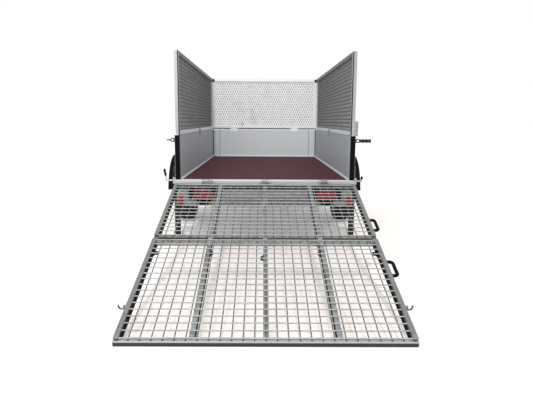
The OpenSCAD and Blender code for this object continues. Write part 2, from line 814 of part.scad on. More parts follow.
module jockey_wheel() color("#1c1d1e")
    translate([jockey_x, jockey_y - trail, jockey_wheel_r]) rotate([0, 90, 0]) rotate_extrude() {
        half = jockey_wheel_w / 2;
        hub_r = 22;
        web = 7;
        felly_r = 0.58 * jockey_wheel_r;
        seat_r = 0.6 * jockey_wheel_r;
        flank_r = 0.84 * jockey_wheel_r;
        edge_r = 0.95 * jockey_wheel_r;
        polygon([
            [6 + run, -half], [hub_r, -half], [hub_r, -web], [felly_r, -web], [seat_r, -half + 4],
            [flank_r, -half], [edge_r, -half + 8], [jockey_wheel_r, -half + 16],
            [jockey_wheel_r, half - 16], [edge_r, half - 8], [flank_r, half],
            [seat_r, half - 4], [felly_r, web], [hub_r, web], [hub_r, half], [6 + run, half]
        ]);
    }

// Ramp

hinge_places = [-hinge_x, 0, hinge_x];
knuckle_l = hinge_w - 2 * cheek_t - 1;

// Bed side of the ramp's hinges: a leaf on the edge profile, two cheeks and the pin
module bed_hinges() color("#8f9597") for (x = hinge_places) translate([x, 0, 0]) {
    leaf_t = 5;
    translate([-hinge_w / 2, -leaf_t, floor_z - edge_h]) cube([hinge_w, leaf_t, edge_h - 4]);
    for (side = [-1, 1]) translate([side * (hinge_w - cheek_t) / 2, 0, 0]) along_x(cheek_t) {
        translate([-hinge_back, hinge_z]) circle(knuckle_r);
        translate([-hinge_back, hinge_z - knuckle_r]) square([hinge_back - leaf_t + 1, 2 * knuckle_r - 6]);
    }
    translate([0, -hinge_back, hinge_z]) rotate([0, 90, 0])
        cylinder(h = hinge_w - 2, r = hinge_pin_r, center = true);
}

// Frame of one section: cross tubes at both ends and five bars down the slope
module section_frame(s0, s1, first) {
    half = ramp_w / 2;
    ramp_bar(-half, half, s0, s0 + first);
    ramp_bar(-half, half, s1 - ramp_tube, s1);
    for (k = ramp_bars)
        ramp_bar(k * bar_off - ramp_tube / 2, k * bar_off + ramp_tube / 2, s0, s1);
}

// Welded mesh of one section: wires down the slope and wires across on top of them
module section_mesh(s0, s1, first) {
    wire_r = wire_d / 2;
    wires = floor((ramp_w / 2 - wire_r) / wire_pitch);
    across = floor((s1 - first - wire_r) / wire_pitch);
    for (k = [-wires:wires])
        translate([k * wire_pitch, -s1, tube_top + lay + wire_r]) rotate([-90, 0, 0])
            cylinder(h = s1 - s0, r = wire_r, $fn = 16);
    for (k = [0:across])
        translate([-ramp_w / 2 + 2, -first - k * wire_pitch, tube_top + 2 * lay + 3 * wire_r])
            rotate([0, 90, 0]) cylinder(h = ramp_w - 4, r = wire_r, $fn = 16);
}

module ramp_upper_frame() color("#a7acae") on_ramp() difference() {
    knuckle_t = 16;
    stop_low = tube_low + 1;
    union() {
        section_frame(-head_over, upper_end, head_tube);
        for (x = hinge_places) translate([x, 0, 0]) {
            rotate([0, 90, 0]) cylinder(h = knuckle_l, r = knuckle_r, center = true);
            translate([-knuckle_l / 2, -knuckle_t / 2, tube_top - 1])
                cube([knuckle_l, knuckle_t, 1 - tube_top]);
        }
        for (k = ramp_bars)
            translate([k * bar_off - ramp_tube / 2, -lower_start + slip, stop_low])
                cube([ramp_tube, fold_gap - slip + 1, ramp_tube - 2]);
    }
    for (x = hinge_places) translate([x, 0, 0])
        rotate([0, 90, 0]) cylinder(h = knuckle_l + 2, r = hinge_pin_r + run, center = true);
}

mesh_start = 12;
mesh_first = 20;

module ramp_upper_mesh() color("#b4b9ba") on_ramp() section_mesh(mesh_start, upper_end - 2, mesh_first);

module ramp_lower_frame() color("#a7acae") on_ramp() section_frame(lower_start, lower_end, ramp_tube);

module ramp_lower_mesh() color("#b4b9ba") on_ramp()
    section_mesh(lower_start + 2, lower_end - 2, lower_start + 12);

fold_in = 8;
fold_cheek = 5;

fold_eye = 12;
fold_foot = 40;

// Outline of an upper fold plate: it reaches from the upper section's end under the lower section
module fold_reach() {
    near = fold_axis - upper_end + 1;
    circle(fold_eye);
    polygon([
        [0, -0.9 * fold_eye], [near + 0.6 * fold_foot, 2], [near + fold_foot, fold_drop],
        [near, fold_drop], [0, 0.8 * fold_eye]
    ]);
}

// Outline of a lower fold plate: it hangs under the lower section's first tube
module fold_hanger() {
    near = fold_axis - lower_start - 3;
    circle(fold_eye);
    polygon([
        [0.8 * fold_eye, 0], [near, fold_drop], [near - fold_foot - 14, fold_drop],
        [near - fold_foot, 2], [0, -0.9 * fold_eye]
    ]);
}

// Two cheeks and the pin under each bar of the upper section
module fold_plates_upper() color("#2a2d2f") on_ramp() translate([0, -fold_axis, fold_n])
    for (k = ramp_bars) translate([k * bar_off, 0, 0]) {
        for (side = [-1, 1])
            translate([side * (fold_in / 2 + slip + fold_cheek / 2), 0, 0]) along_x(fold_cheek) fold_reach();
        rotate([0, 90, 0]) cylinder(h = fold_in + 2 * (slip + fold_cheek) - 1, r = fold_pin_r, center = true);
    }

// One plate with an eye under each bar of the lower section
module fold_plates_lower() color("#2a2d2f") on_ramp() translate([0, -fold_axis, fold_n])
    for (k = ramp_bars) translate([k * bar_off, 0, 0]) along_x(fold_in) difference() {
        fold_hanger();
        circle(fold_pin_r + run);
    }

// Bow handle on the ramp's right edge, its middle at s down the slope
module edge_handle(s) {
    handle_r = 9.5;
    handle_out = 48;
    bend = 18;
    half = handle_l / 2 - handle_r;
    straight = handle_out - handle_r - bend;
    translate([ramp_w / 2, -s, tube_low + ramp_tube / 2]) {
        rod([straight + bend, -half + bend, 0], [straight + bend, half - bend, 0], handle_r);
        for (side = [-1, 1]) mirror([0, side < 0 ? 1 : 0, 0]) {
            rod([0, half, 0], [straight, half, 0], handle_r);
            translate([straight, half - bend, 0]) rotate_extrude(angle = 90)
                translate([bend, 0]) circle(handle_r);
        }
    }
}

handle_upper_s = upper_grip_at * upper_end;
handle_lower_s = lower_start + lower_grip_at * (lower_end - lower_start);
hook_s = lower_start + hook_at * (lower_end - lower_start);

module ramp_upper_handle() color("#131415") on_ramp() edge_handle(handle_upper_s);

module ramp_lower_handle() color("#131415") on_ramp() edge_handle(handle_lower_s);

// Curled hooks on small plates at both edges of the lower section
module ramp_hooks() color("#8b9092") on_ramp() mirrored() {
    hook_r = 4.5;
    hook_bend = 15;
    root_l = 12;
    root_r = 8;
    tip_l = 8;
    plate_l = 34;
    plate_t = 4;
    plate_in = 1;
    translate([ramp_w / 2, -hook_s, tube_low + ramp_tube / 2]) {
        translate([0, -plate_l / 2, plate_in - ramp_tube / 2])
            cube([plate_t, plate_l, ramp_tube - 2 * plate_in]);
        rod([plate_t - plate_in, 0, 0], [root_l + root_r, 0, 0], root_r);
        translate([root_l + hook_bend, 0, 0]) {
            rotate([90, 0, 0]) rotate([0, 0, 180]) rotate_extrude(angle = 180)
                translate([hook_bend, 0]) circle(hook_r);
            rod([hook_bend, 0, 0], [hook_bend, 0, tip_l], hook_r);
        }
    }
}

module ramp_end_strip() color("#202223") on_ramp()
    translate([-ramp_w / 2, -ramp_l, tube_low]) cube([ramp_w, end_strip_t, ramp_tube]);

set_down() floor_panel();
set_down() floor_edge();
set_down() floor_trims();
set_down() side_wall_left();
set_down() side_wall_right();
set_down() front_wall();
set_down() corner_trims();
set_down() rear_posts();
set_down() post_seals();
set_down() post_latches();
set_down() rope_hooks();
set_down() upper_frame_left();
set_down() upper_frame_right();
set_down() upper_frame_front();
set_down() upper_mesh_left();
set_down() upper_mesh_right();
set_down() upper_mesh_front();
set_down() upper_brackets();
set_down() chassis_rails();
set_down() cross_members();
set_down() drawbar_tubes();
set_down() coupling_head();
set_down() coupling_lever();
set_down() axle_beam();
set_down() axle_arms();
set_down() mudguard_left();
set_down() mudguard_right();
set_down() light_board();
set_down() lamp_housings();
set_down() lamp_reflectors();
set_down() side_reflectors();
set_down() stand_clamps();
set_down() stand_levers();
set_down() lever_grips();
set_down() bed_hinges();
set_down() jockey_clamp();
set_down() jockey_tube();
set_down() tyre_left();
set_down() rim_left();
set_down() tyre_right();
set_down() rim_right();
set_down() stand_leg_left();
set_down() stand_leg_right();
set_down() jockey_leg();
set_down() jockey_fork();
set_down() jockey_wheel();
set_down() ramp_upper_frame();
set_down() ramp_upper_mesh();
set_down() ramp_upper_handle();
set_down() fold_plates_upper();
set_down() ramp_lower_frame();
set_down() ramp_lower_mesh();
set_down() ramp_lower_handle();
set_down() fold_plates_lower();
set_down() ramp_hooks();
set_down() ramp_end_strip();
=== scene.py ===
import itertools
import json
import math

import bpy
import numpy as np
from mathutils import Matrix, Vector


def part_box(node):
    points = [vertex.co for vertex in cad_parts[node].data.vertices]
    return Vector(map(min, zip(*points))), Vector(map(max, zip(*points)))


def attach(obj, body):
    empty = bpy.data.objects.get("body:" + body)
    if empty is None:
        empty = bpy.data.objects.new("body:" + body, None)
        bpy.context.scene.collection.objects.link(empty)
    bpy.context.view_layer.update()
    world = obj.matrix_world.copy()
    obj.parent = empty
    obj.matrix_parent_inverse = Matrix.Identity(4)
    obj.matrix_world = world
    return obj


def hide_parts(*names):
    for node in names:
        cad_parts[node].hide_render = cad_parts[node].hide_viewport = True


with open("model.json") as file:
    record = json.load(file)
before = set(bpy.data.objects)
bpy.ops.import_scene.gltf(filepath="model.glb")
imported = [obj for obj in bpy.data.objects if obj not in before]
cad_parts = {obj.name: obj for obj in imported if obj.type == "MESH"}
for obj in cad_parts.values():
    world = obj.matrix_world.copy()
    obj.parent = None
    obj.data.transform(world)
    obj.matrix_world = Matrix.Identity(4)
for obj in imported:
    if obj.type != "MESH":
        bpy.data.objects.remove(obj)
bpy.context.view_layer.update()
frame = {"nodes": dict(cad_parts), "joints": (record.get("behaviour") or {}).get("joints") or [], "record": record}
nodes = frame["nodes"]
joints = {joint["name"]: joint for joint in frame["joints"]}
print("frame loaded:", len(nodes), "nodes")

up = (0, 0, 1)
down = (0, 0, -1)
rear = (0, -1, 0)

# the ramp's own frame: Y up the slope from the hinge axis, Z along its normal
hinge = joints["ramp_hinge"]
slope = math.radians(hinge["range_deg"][1] - 90)
rampPlace = Matrix.Translation(hinge["pos_m"]) @ Matrix.Rotation(slope, 4, "X")


def cornersOf(node):
    return [vertex.co for vertex in nodes[node].data.vertices]


def rampCorners(node):
    back = rampPlace.inverted()
    return np.array([back @ corner for corner in cornersOf(node)])


def rampBox(node):
    spots = rampCorners(node)
    return spots.min(axis=0), spots.max(axis=0)


def span(side, near, far):
    # X values at two distances from the middle, the lower first
    return sorted((side * near, side * far))


# shader tools

class Wire:
    # one socket of a shader; an operator on it adds a Math node
    def __init__(self, shade, socket):
        self.shade = shade
        self.socket = socket

    def __add__(self, other):
        return self.shade.maths("ADD", self, other)

    def __radd__(self, other):
        return self.shade.maths("ADD", other, self)

    def __sub__(self, other):
        return self.shade.maths("SUBTRACT", self, other)

    def __rsub__(self, other):
        return self.shade.maths("SUBTRACT", other, self)

    def __mul__(self, other):
        return self.shade.maths("MULTIPLY", self, other)

    def __rmul__(self, other):
        return self.shade.maths("MULTIPLY", other, self)

    def rise(self, low, high):  # 0 below low, 1 above high, smooth between
        sockets = {"Value": self, "From Min": low, "From Max": high}
        return self.shade.node("MapRange", {"interpolation_type": "SMOOTHSTEP"}, sockets)


class Shade:
    # the nodes of one finish
    def __init__(self, tree):
        self.tree = tree

    def node(self, kind, settings=None, sockets=None, output=0):
        made = self.tree.nodes.new("ShaderNode" + kind)
        for key, value in (settings or {}).items():
            setattr(made, key, value)
        for key, value in (sockets or {}).items():
            self.feed(made.inputs[key], value)
        return Wire(self, made.outputs[output])

    def feed(self, socket, value):
        if isinstance(value, Wire):
            self.tree.links.new(value.socket, socket)
        else:
            socket.default_value = value

    def maths(self, operation, *values):
        return self.node("Math", {"operation": operation}, dict(enumerate(values)))

    def mix(self, factor, first, second):  # inputs 6 and 7 and output 2 are the node's colours
        return self.node("Mix", {"data_type": "RGBA"}, {0: factor, 6: first, 7: second}, 2)

    def tone(self, factor, look):
        return self.mix(factor, tint(*look["dark"]), tint(*look["light"]))

    def place(self, scale=(1, 1, 1)):
        spot = self.node("TexCoord", output="Object")
        return self.node("Mapping", None, {"Vector": spot, "Scale": scale})

    def axis(self, spot, name):
        return self.node("SeparateXYZ", None, {"Vector": spot}, name)

    def rampAxis(self, spot, number):  # place along an axis of the ramp's own frame
        way = rampPlace.to_3x3().col[number]
        along = self.node("VectorMath", {"operation": "DOT_PRODUCT"}, {0: spot, 1: way}, "Value")
        return along - rampPlace.translation.dot(way)

    def noise(self, size, spot, detail=3.0):
        return self.node("TexNoise", None, {"Vector": spot, "Scale": 1 / size, "Detail": detail})

    def cells(self, size, spot):  # one random value per cell
        colour = self.node("TexVoronoi", None, {"Vector": spot, "Scale": 1 / size}, "Color")
        return self.node("SeparateColor", None, {"Color": colour})

    def bump(self, height, depth):
        return self.node("Bump", None, {"Height": height, "Distance": depth, "Strength": 1.0})


def tint(red, green, blue):
    # a colour as it shows on screen, as the linear one that shaders take
    share = [value / 255 for value in (red, green, blue)]
    return (*[v / 12.92 if v <= 0.04045 else ((v + 0.055) / 1.055) ** 2.4 for v in share], 1)


def newFinish(name, steady):
    material = bpy.data.materials.new(name)
    material.use_nodes = True
    shade = Shade(material.node_tree)
    shade.material = material
    shade.surface = material.node_tree.nodes["Principled BSDF"].inputs
    for socket, value in steady.items():
        shade.surface[socket].default_value = value
    return shade


def dress(shade, **varying):
    sockets = {"colour": "Base Color", "rough": "Roughness", "normal": "Normal"}
    for key, value in varying.items():
        shade.feed(shade.surface[sockets[key]], value)
    return shade.material


# marks by place on a finish, most of them painted shade or a painted highlight: colour, band over which the mark
# comes in, share of it in the mix
marks = {
    "bond": ((52, 54, 56), (-0.5, 0.9), 0.8),
    "endPostShade": ((158, 162, 164), (0.030, 0.034), 1.0),
    "topRailShade": ((118, 121, 123), (-0.036, -0.032), 1.0),
    "railInsideShade": ((52, 54, 56), (0.002, 0.004), 1.0),
    "frontPlate": ((246, 246, 246), (-0.020, -0.010), 1.0),
    "lowWireShade": ((66, 68, 68), (-0.001, 0.001), 1.0),
    "endTube": ((168, 170, 170), (0.026, 0.028), 0.8),
    "sideTube": ((106, 108, 108), (-0.027, -0.025), 0.6),
    "stripEdgeHighlight": ((170, 172, 172), (-0.0044, -0.0034), 1.0),
}

sideMeshMake = {"shortWay": 0.0277, "longWay": 0.0608, "strand": 0.0066, "gauge": 0.0022, "tilt": 24.0,
                "bondLength": 0.018, "bondWidth": 0.015, "strandEnd": 0.8}
frontMeshMake = dict(sideMeshMake, strand=0.0050, bondLength=0.022, bondWidth=0.0205)


def mask(name, value, start):
    low, high = marks[name][1]
    return value.rise(start + low, start + high)


def marked(shade, name, where, colour):
    mark, _, share = marks[name]
    return shade.mix(where * share, colour, tint(*mark))


def bondShadeBands(shade, spot, colour):  # painted shade: rows of bonds are painted darker than the strands between them
    low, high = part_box("upper_mesh_left")
    rows = round((high.z - low.z) / sideMeshMake["longWay"] * 2)
    turn = (shade.axis(spot, "Z") - low.z) * (math.tau * rows / (high.z - low.z))
    return marked(shade, "bond", mask("bond", shade.maths("COSINE", turn), 0), colour)


def paintedRailShade(shade, spot, colour):  # painted shade: top rails darker than low rails, darkest on their inner faces, and rear posts darker too
    low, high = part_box("upper_frame_left")
    top = mask("topRailShade", shade.axis(spot, "Z"), high.z)
    post = 1 - mask("endPostShade", shade.axis(spot, "Y"), low.y)
    inside = 1 - mask("railInsideShade", shade.maths("ABSOLUTE", shade.axis(spot, "X")), -high.x)
    topShaded = marked(shade, "topRailShade", top, colour)
    darker = marked(shade, "railInsideShade", top * inside, topShaded)
    return marked(shade, "endPostShade", post, darker)


def frontPlates(shade, spot, colour):  # the tie plates on the front wall are as pale as its rail
    near = mask("frontPlate", shade.axis(spot, "Y"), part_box("front_wall")[0].y)
    return marked(shade, "frontPlate", near, colour)


def shadedLowWires(shade, spot, colour):  # painted shade: the lengthwise wires lie under the cross wires and are painted darker
    low, high = rampBox("ramp_upper_mesh")
    above = mask("lowWireShade", shade.rampAxis(spot, 2), (low[2] + high[2]) / 2)
    return marked(shade, "lowWireShade", 1 - above, colour)


def sideTubes(shade, spot, colour):  # the frames' outer tubes differ from the bars
    strip = rampBox("ramp_end_strip")[1]
    last = 1 - mask("endTube", shade.rampAxis(spot, 1), strip[1])
    outer = mask("sideTube", shade.maths("ABSOLUTE", shade.axis(spot, "X")), strip[0])
    return marked(shade, "sideTube", outer, marked(shade, "endTube", last, colour))


def paintedEdgeHighlight(shade, spot, colour):  # painted highlight: the end strip's upper edge is painted bright
    edge = mask("stripEdgeHighlight", shade.rampAxis(spot, 2), rampBox("ramp_end_strip")[1][2])
    return marked(shade, "stripEdgeHighlight", edge, colour)


# finishes

galvanisedLook = {"dark": (112, 114, 114), "light": (172, 174, 174), "metal": 0.45, "rough": 0.42,
                  "spangle": 0.012, "fineShare": 0.45, "grain": 0.02, "ripple": 0.0004, "cloud": 0.16,
                  "stain": (96, 98, 97), "stainBand": (0.55, 0.8), "stainShare": 0.6}
# painted shade on the side sheets and painted light on the front sheet: one expanded metal in a darker and a paler
# copy
sideMeshShadedLook = dict(galvanisedLook, dark=(97, 100, 103), light=(138, 141, 144), spangle=0.02, metal=0.3)
frontMeshLitLook = dict(galvanisedLook, dark=(183, 180, 182), light=(219, 216, 218), spangle=0.02, metal=0.1)
wireLook = dict(galvanisedLook, dark=(134, 136, 136), light=(180, 182, 182), metal=0.3)
# painted shade: the ramp frames' copy of the galvanised steel is a little darker, for the wires' shade on the bars
rampFrameShadedLook = dict(galvanisedLook, dark=(104, 106, 106), light=(168, 170, 170))
hingeLook = dict(galvanisedLook, dark=(152, 154, 155), light=(204, 206, 206))
boardPlateLook = dict(galvanisedLook, dark=(112, 116, 119), light=(148, 152, 155))


def galvanisedSteel(name, look, mark=None):
    shade = newFinish(name, {"Metallic": look["metal"]})
    spot = shade.place()
    flakes = shade.cells(look["spangle"], spot)
    fine = shade.cells(look["spangle"] * look["fineShare"], spot)
    cloud = shade.noise(look["cloud"], spot)
    colour = shade.tone(0.6 * flakes + 0.4 * fine, look)
    stainsAndMarks = shade.mix(cloud.rise(*look["stainBand"]) * look["stainShare"], colour, tint(*look["stain"]))
    # marks by place; several of them are painted shade
    if mark:
        stainsAndMarks = mark(shade, spot, stainsAndMarks)
    rough = look["rough"] + 0.14 * flakes + 0.12 * cloud
    normal = shade.bump(0.3 * fine + shade.noise(look["grain"], spot), look["ripple"])
    return dress(shade, colour=stainsAndMarks, rough=rough, normal=normal)


aluminiumLook = {"dark": (168, 172, 174), "light": (214, 217, 218), "metal": 0.45, "rough": 0.34,
                 "streak": 0.0022, "stretch": 60.0, "depth": 0.00012, "cloud": 0.25, "scuff": 0.018,
                 "scuffBand": (0.62, 0.72)}
railLook = dict(aluminiumLook, dark=(222, 225, 227), light=(246, 248, 249))
postLook = dict(aluminiumLook, dark=(128, 131, 133), light=(170, 173, 174))
edgeLook = dict(aluminiumLook, dark=(162, 164, 166), light=(208, 209, 211))
paleRailLook = dict(aluminiumLook, dark=(230, 231, 232), light=(250, 250, 250), metal=0.1)
sideBoardLook = dict(aluminiumLook, dark=(168, 175, 179), light=(194, 200, 203), metal=0.3, rough=0.46)
# painted light: the front wall and corner strips use a paler copy of the side boards' aluminium
frontBoardLitLook = dict(sideBoardLook, dark=(200, 205, 208), light=(222, 226, 228))


def drawnAluminium(name, look, along, mark=None):
    shade = newFinish(name, {"Metallic": look["metal"]})
    spot = shade.place()
    stretched = shade.place([1 / look["stretch"] if axis == along else 1 for axis in "xyz"])
    streaks = shade.noise(look["streak"], stretched, 4.0)
    cloud = shade.noise(look["cloud"], spot)
    colour = shade.tone(0.65 * streaks + 0.35 * cloud, look)
    if mark:
        colour = mark(shade, spot, colour)
    scuffs = shade.noise(look["scuff"], spot).rise(*look["scuffBand"])
    rough = look["rough"] + 0.16 * streaks + 0.14 * scuffs
    return dress(shade, colour=colour, rough=rough, normal=shade.bump(streaks, look["depth"]))


zincLook = {"dark": (150, 154, 156), "light": (199, 202, 203), "metal": 0.7, "rough": 0.32, "cloud": 0.03,
            "wear": 0.008, "wearBand": (0.58, 0.75), "depth": 0.0001}
dullZincLook = dict(zincLook, dark=(74, 77, 78), light=(128, 131, 132))


def zincPlate(name, look):
    shade = newFinish(name, {"Metallic": look["metal"]})
    spot = shade.place()
    cloud = shade.noise(look["cloud"], spot, 5.0)
    wear = shade.noise(look["wear"], spot).rise(*look["wearBand"])
    rough = look["rough"] + 0.18 * cloud + 0.12 * wear
    return dress(shade, colour=shade.tone(cloud, look), rough=rough, normal=shade.bump(wear, look["depth"]))


plywoodLook = {"dark": (57, 22, 30), "light": (76, 35, 44), "shine": 0.15, "rough": 0.62, "cloud": 0.45,
               "fine": 0.012, "scuff": (100, 72, 78), "scuffSize": 0.03, "scuffStretch": 0.06,
               "scuffBand": (0.60, 0.74), "scuffShare": 0.45, "grip": 0.0042, "gripDepth": 0.0003}


def filmPlywood(name, look):
    shade = newFinish(name, {"Specular IOR Level": look["shine"]})
    spot = shade.place()
    cloud = shade.noise(look["cloud"], spot, 4.0)
    fine = shade.noise(look["fine"], spot)
    streaked = shade.place((1, look["scuffStretch"], 1))
    scuffs = shade.noise(look["scuffSize"], streaked, 5.0).rise(*look["scuffBand"])
    colour = shade.tone(0.6 * cloud + 0.4 * fine, look)
    worn = shade.mix(look["scuffShare"] * scuffs, colour, tint(*look["scuff"]))
    turn = math.tau / look["grip"]
    across, along = [shade.maths("SINE", shade.axis(spot, axis) * turn) for axis in "XY"]
    grid = shade.maths("MAXIMUM", across, along)  # print of the press's wire mesh
    rough = look["rough"] + 0.12 * cloud + 0.15 * scuffs
    return dress(shade, colour=worn, rough=rough, normal=shade.bump(grid, look["gripDepth"]))


coatLook = {"rough": 0.6, "grain": 0.002, "depth": 0.0002, "shine": 0.25, "dust": 0.09,
            "dustBand": (0.45, 0.8)}
coatLooks = {
    "plastic": dict(coatLook, dark=(7, 7, 8), light=(16, 16, 17), grain=0.0016, shine=0.08),
    "paint": dict(coatLook, dark=(9, 10, 11), light=(20, 21, 22), rough=0.36, grain=0.004, depth=0.0001),
    "steel": dict(coatLook, dark=(24, 26, 27), light=(48, 51, 52), rough=0.42, grain=0.006),
    "rubber": dict(coatLook, dark=(9, 9, 10), light=(20, 20, 20), rough=0.72, grain=0.0012, shine=0.08),
    "endStrip": dict(coatLook, dark=(44, 46, 47), light=(66, 68, 69)),
    "grooveShade": dict(coatLook, dark=(92, 95, 97), light=(124, 127, 129), rough=0.7, grain=0.003, depth=0.0003),
    "tyre": dict(coatLook, dark=(12, 12, 13), light=(32, 31, 30), rough=0.74, grain=0.0025, depth=0.0003),
}


def darkCoat(name, look, mark=None):
    shade = newFinish(name, {"Specular IOR Level": look["shine"]})
    spot = shade.place()
    grain = shade.noise(look["grain"], spot)
    dust = shade.noise(look["dust"], spot, 5.0).rise(*look["dustBand"])
    colour = shade.tone(0.3 * grain + 0.6 * dust, look)
    if mark:
        colour = mark(shade, spot, colour)
    rough = look["rough"] + 0.12 * dust + 0.08 * grain
    return dress(shade, colour=colour, rough=rough, normal=shade.bump(grain, look["depth"]))


rimLook = {"dark": (164, 167, 169), "light": (203, 205, 206), "metal": 0.35, "coat": 0.3, "rough": 0.36,
           "flake": 0.0016, "brake": (96, 88, 80), "brakeShare": 0.35, "dust": 0.05,
           "dustBand": (0.52, 0.85)}


def rimPaint(name, look):
    shade = newFinish(name, {"Metallic": look["metal"], "Coat Weight": look["coat"]})
    spot = shade.place()
    dust = shade.noise(look["dust"], spot, 5.0).rise(*look["dustBand"])
    colour = shade.tone(shade.cells(look["flake"], spot), look)
    worn = shade.mix(look["brakeShare"] * dust, colour, tint(*look["brake"]))
    return dress(shade, colour=worn, rough=look["rough"] + 0.25 * dust)


lensLook = {"dark": (96, 1, 4), "light": (186, 8, 12), "prism": 0.0035, "prismDepth": 0.0005, "cloud": 0.06,
            "rough": 0.34, "coat": 0.1, "coatRough": 0.2, "shine": 0.3}


def redLens(name, look):
    shade = newFinish(name, {"Coat Weight": look["coat"], "Coat Roughness": look["coatRough"],
                             "Specular IOR Level": look["shine"]})
    spot = shade.place()
    prisms = shade.cells(look["prism"], spot)
    cloud = shade.noise(look["cloud"], spot)
    colour = shade.tone(0.7 * prisms + 0.3 * cloud, look)
    rough = look["rough"] + 0.12 * cloud
    return dress(shade, colour=colour, rough=rough, normal=shade.bump(prisms, look["prismDepth"]))


finishes = {
    "plywood": filmPlywood("filmPlywood", plywoodLook),
    "aluminium": drawnAluminium("drawnAluminium", aluminiumLook, "y"),
    "wall_board": drawnAluminium("sideBoard", sideBoardLook, "y"),
    "galvanised": galvanisedSteel("galvanised", galvanisedLook),
    "expanded_metal": galvanisedSteel("sideMesh", sideMeshShadedLook, bondShadeBands),
    "black_steel": darkCoat("blackPaint", coatLooks["paint"]),
    "dark_steel": darkCoat("darkSteel", coatLooks["steel"]),
    "black_plastic": darkCoat("blackPlastic", coatLooks["plastic"]),
    "black_rubber": darkCoat("blackRubber", coatLooks["rubber"]),
    "tyre": darkCoat("tyreRubber", coatLooks["tyre"]),
    "rim_steel": rimPaint("rimPaint", rimLook),
    "lens_red": redLens("redLens", lensLook),
    "zinc": zincPlate("zincPlate", zincLook),
}
greyGrooveShade = darkCoat("greyGrooveShade", coatLooks["grooveShade"])
sideRail = drawnAluminium("sideRail", railLook, "y", paintedRailShade)
meshWires = galvanisedSteel("meshWires", wireLook, shadedLowWires)
rampFrames = galvanisedSteel("rampFrames", rampFrameShadedLook, sideTubes)
ownFinish = {  # nodes that differ from the rest of their slot
    "floor_edge": drawnAluminium("edgeProfile", edgeLook, "x"),
    "rear_posts": drawnAluminium("postAluminium", postLook, "z"),
    "corner_trims": drawnAluminium("cornerStrip", frontBoardLitLook, "z"),
    "front_wall": drawnAluminium("frontBoard", frontBoardLitLook, "x"),
    "upper_frame_front": drawnAluminium("paleRail", paleRailLook, "x"),
    "upper_frame_left": sideRail,
    "upper_frame_right": sideRail,
    "upper_mesh_front": galvanisedSteel("frontMesh", frontMeshLitLook),
    "upper_brackets": galvanisedSteel("tiePlates", galvanisedLook, frontPlates),
    "light_board": galvanisedSteel("boardPlate", boardPlateLook),
    "bed_hinges": galvanisedSteel("hingePlates", hingeLook),
    "ramp_upper_mesh": meshWires,
    "ramp_lower_mesh": meshWires,
    "ramp_upper_frame": rampFrames,
    "ramp_lower_frame": rampFrames,
    "ramp_end_strip": darkCoat("endStrip", coatLooks["endStrip"], paintedEdgeHighlight),
    "ramp_hooks": zincPlate("dullZinc", dullZincLook),
    "fold_plates_upper": finishes["black_plastic"],
    "fold_plates_lower": finishes["black_plastic"],
}
for part in frame["record"]["subparts"]:
    finish = ownFinish.get(part["node"], finishes[part["material_slot"]])
    mesh = nodes[part["node"]].data
    mesh.materials.clear()
    mesh.materials.append(finish)
print("finishes:", len(bpy.data.materials))


# mesh tools

class Shape:
    # gathers the points and faces of one joined mesh
    def __init__(self):
        self.points = []
        self.faces = []

    def add(self, points, faces, place=None):
        start = len(self.points)
        if place is not None:
            points = [place @ Vector(point) for point in points]
        self.points += [tuple(point) for point in points]
        self.faces += [tuple(start + corner for corner in face) for face in faces]

    def piece(self, name, slot, body, finish=None, sharp=35.0, replaced=()):
        mesh = bpy.data.meshes.new(name)
        mesh.from_pydata(self.points, [], self.faces)
        mesh.materials.append(finish or finishes[slot])
        mesh.shade_smooth()
        mesh.set_sharp_from_angle(angle=math.radians(sharp))
        made = bpy.data.objects.new(name, mesh)
        bpy.context.scene.collection.objects.link(made)
        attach(made, body)
        if replaced:
            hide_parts(*replaced)
        print("piece", name, len(self.faces), "faces")


def facing(point, normal, turn=0.0):
    # stands a shape that points along Z on a surface
    stand = Vector(normal).to_track_quat("Z", "Y").to_matrix().to_4x4()
    return Matrix.Translation(point) @ stand @ Matrix.Rotation(turn, 4, "Z")


def ringFaces(rings, sides, closed=False):
    spans = rings if closed else rings - 1
    return [(a * sides + b, a * sides + (b + 1) % sides, (a + 1) % rings * sides + (b + 1) % sides,
             (a + 1) % rings * sides + b) for a in range(spans) for b in range(sides)]


def cappedFaces(rings, sides):
    caps = [tuple(reversed(range(sides))), tuple(range((rings - 1) * sides, rings * sides))]
    return ringFaces(rings, sides) + caps


def turned(profile, sides):
    # profile of (radius, height) turned about Z, closed at both ends
    angles = [math.tau * k / sides for k in range(sides)]
    points = [(r * math.cos(a), r * math.sin(a), z) for r, z in profile for a in angles]
    return points, cappedFaces(len(profile), sides)


headMake = {"seat": 0.001, "arc": 1.4, "arcPoints": 5, "domeSides": 14, "washer": 1.5, "washerTop": 1.38,
            "washerStep": 0.2, "washerHeight": 0.28, "washerSides": 20, "shoulder": 0.86}


def domeHead(radius, height):
    angles = np.linspace(0, headMake["arc"], headMake["arcPoints"])
    arc = [(radius * math.cos(a), height * math.sin(a)) for a in angles]
    return turned([(radius, -headMake["seat"])] + arc, headMake["domeSides"])


def hexHead(radius, height):
    # washer with a hexagon head on it
    make = headMake
    rim = radius * make["washer"]
    step = height * make["washerStep"]
    washer = [(rim, -make["seat"]), (rim, step), (radius * make["washerTop"], height * make["washerHeight"])]
    head = [(radius, step), (radius, height * make["shoulder"]), (radius * make["shoulder"], height)]
    shape = Shape()
    shape.add(*turned(washer, make["washerSides"]))
    shape.add(*turned(head, 6))
    return shape.points, shape.faces


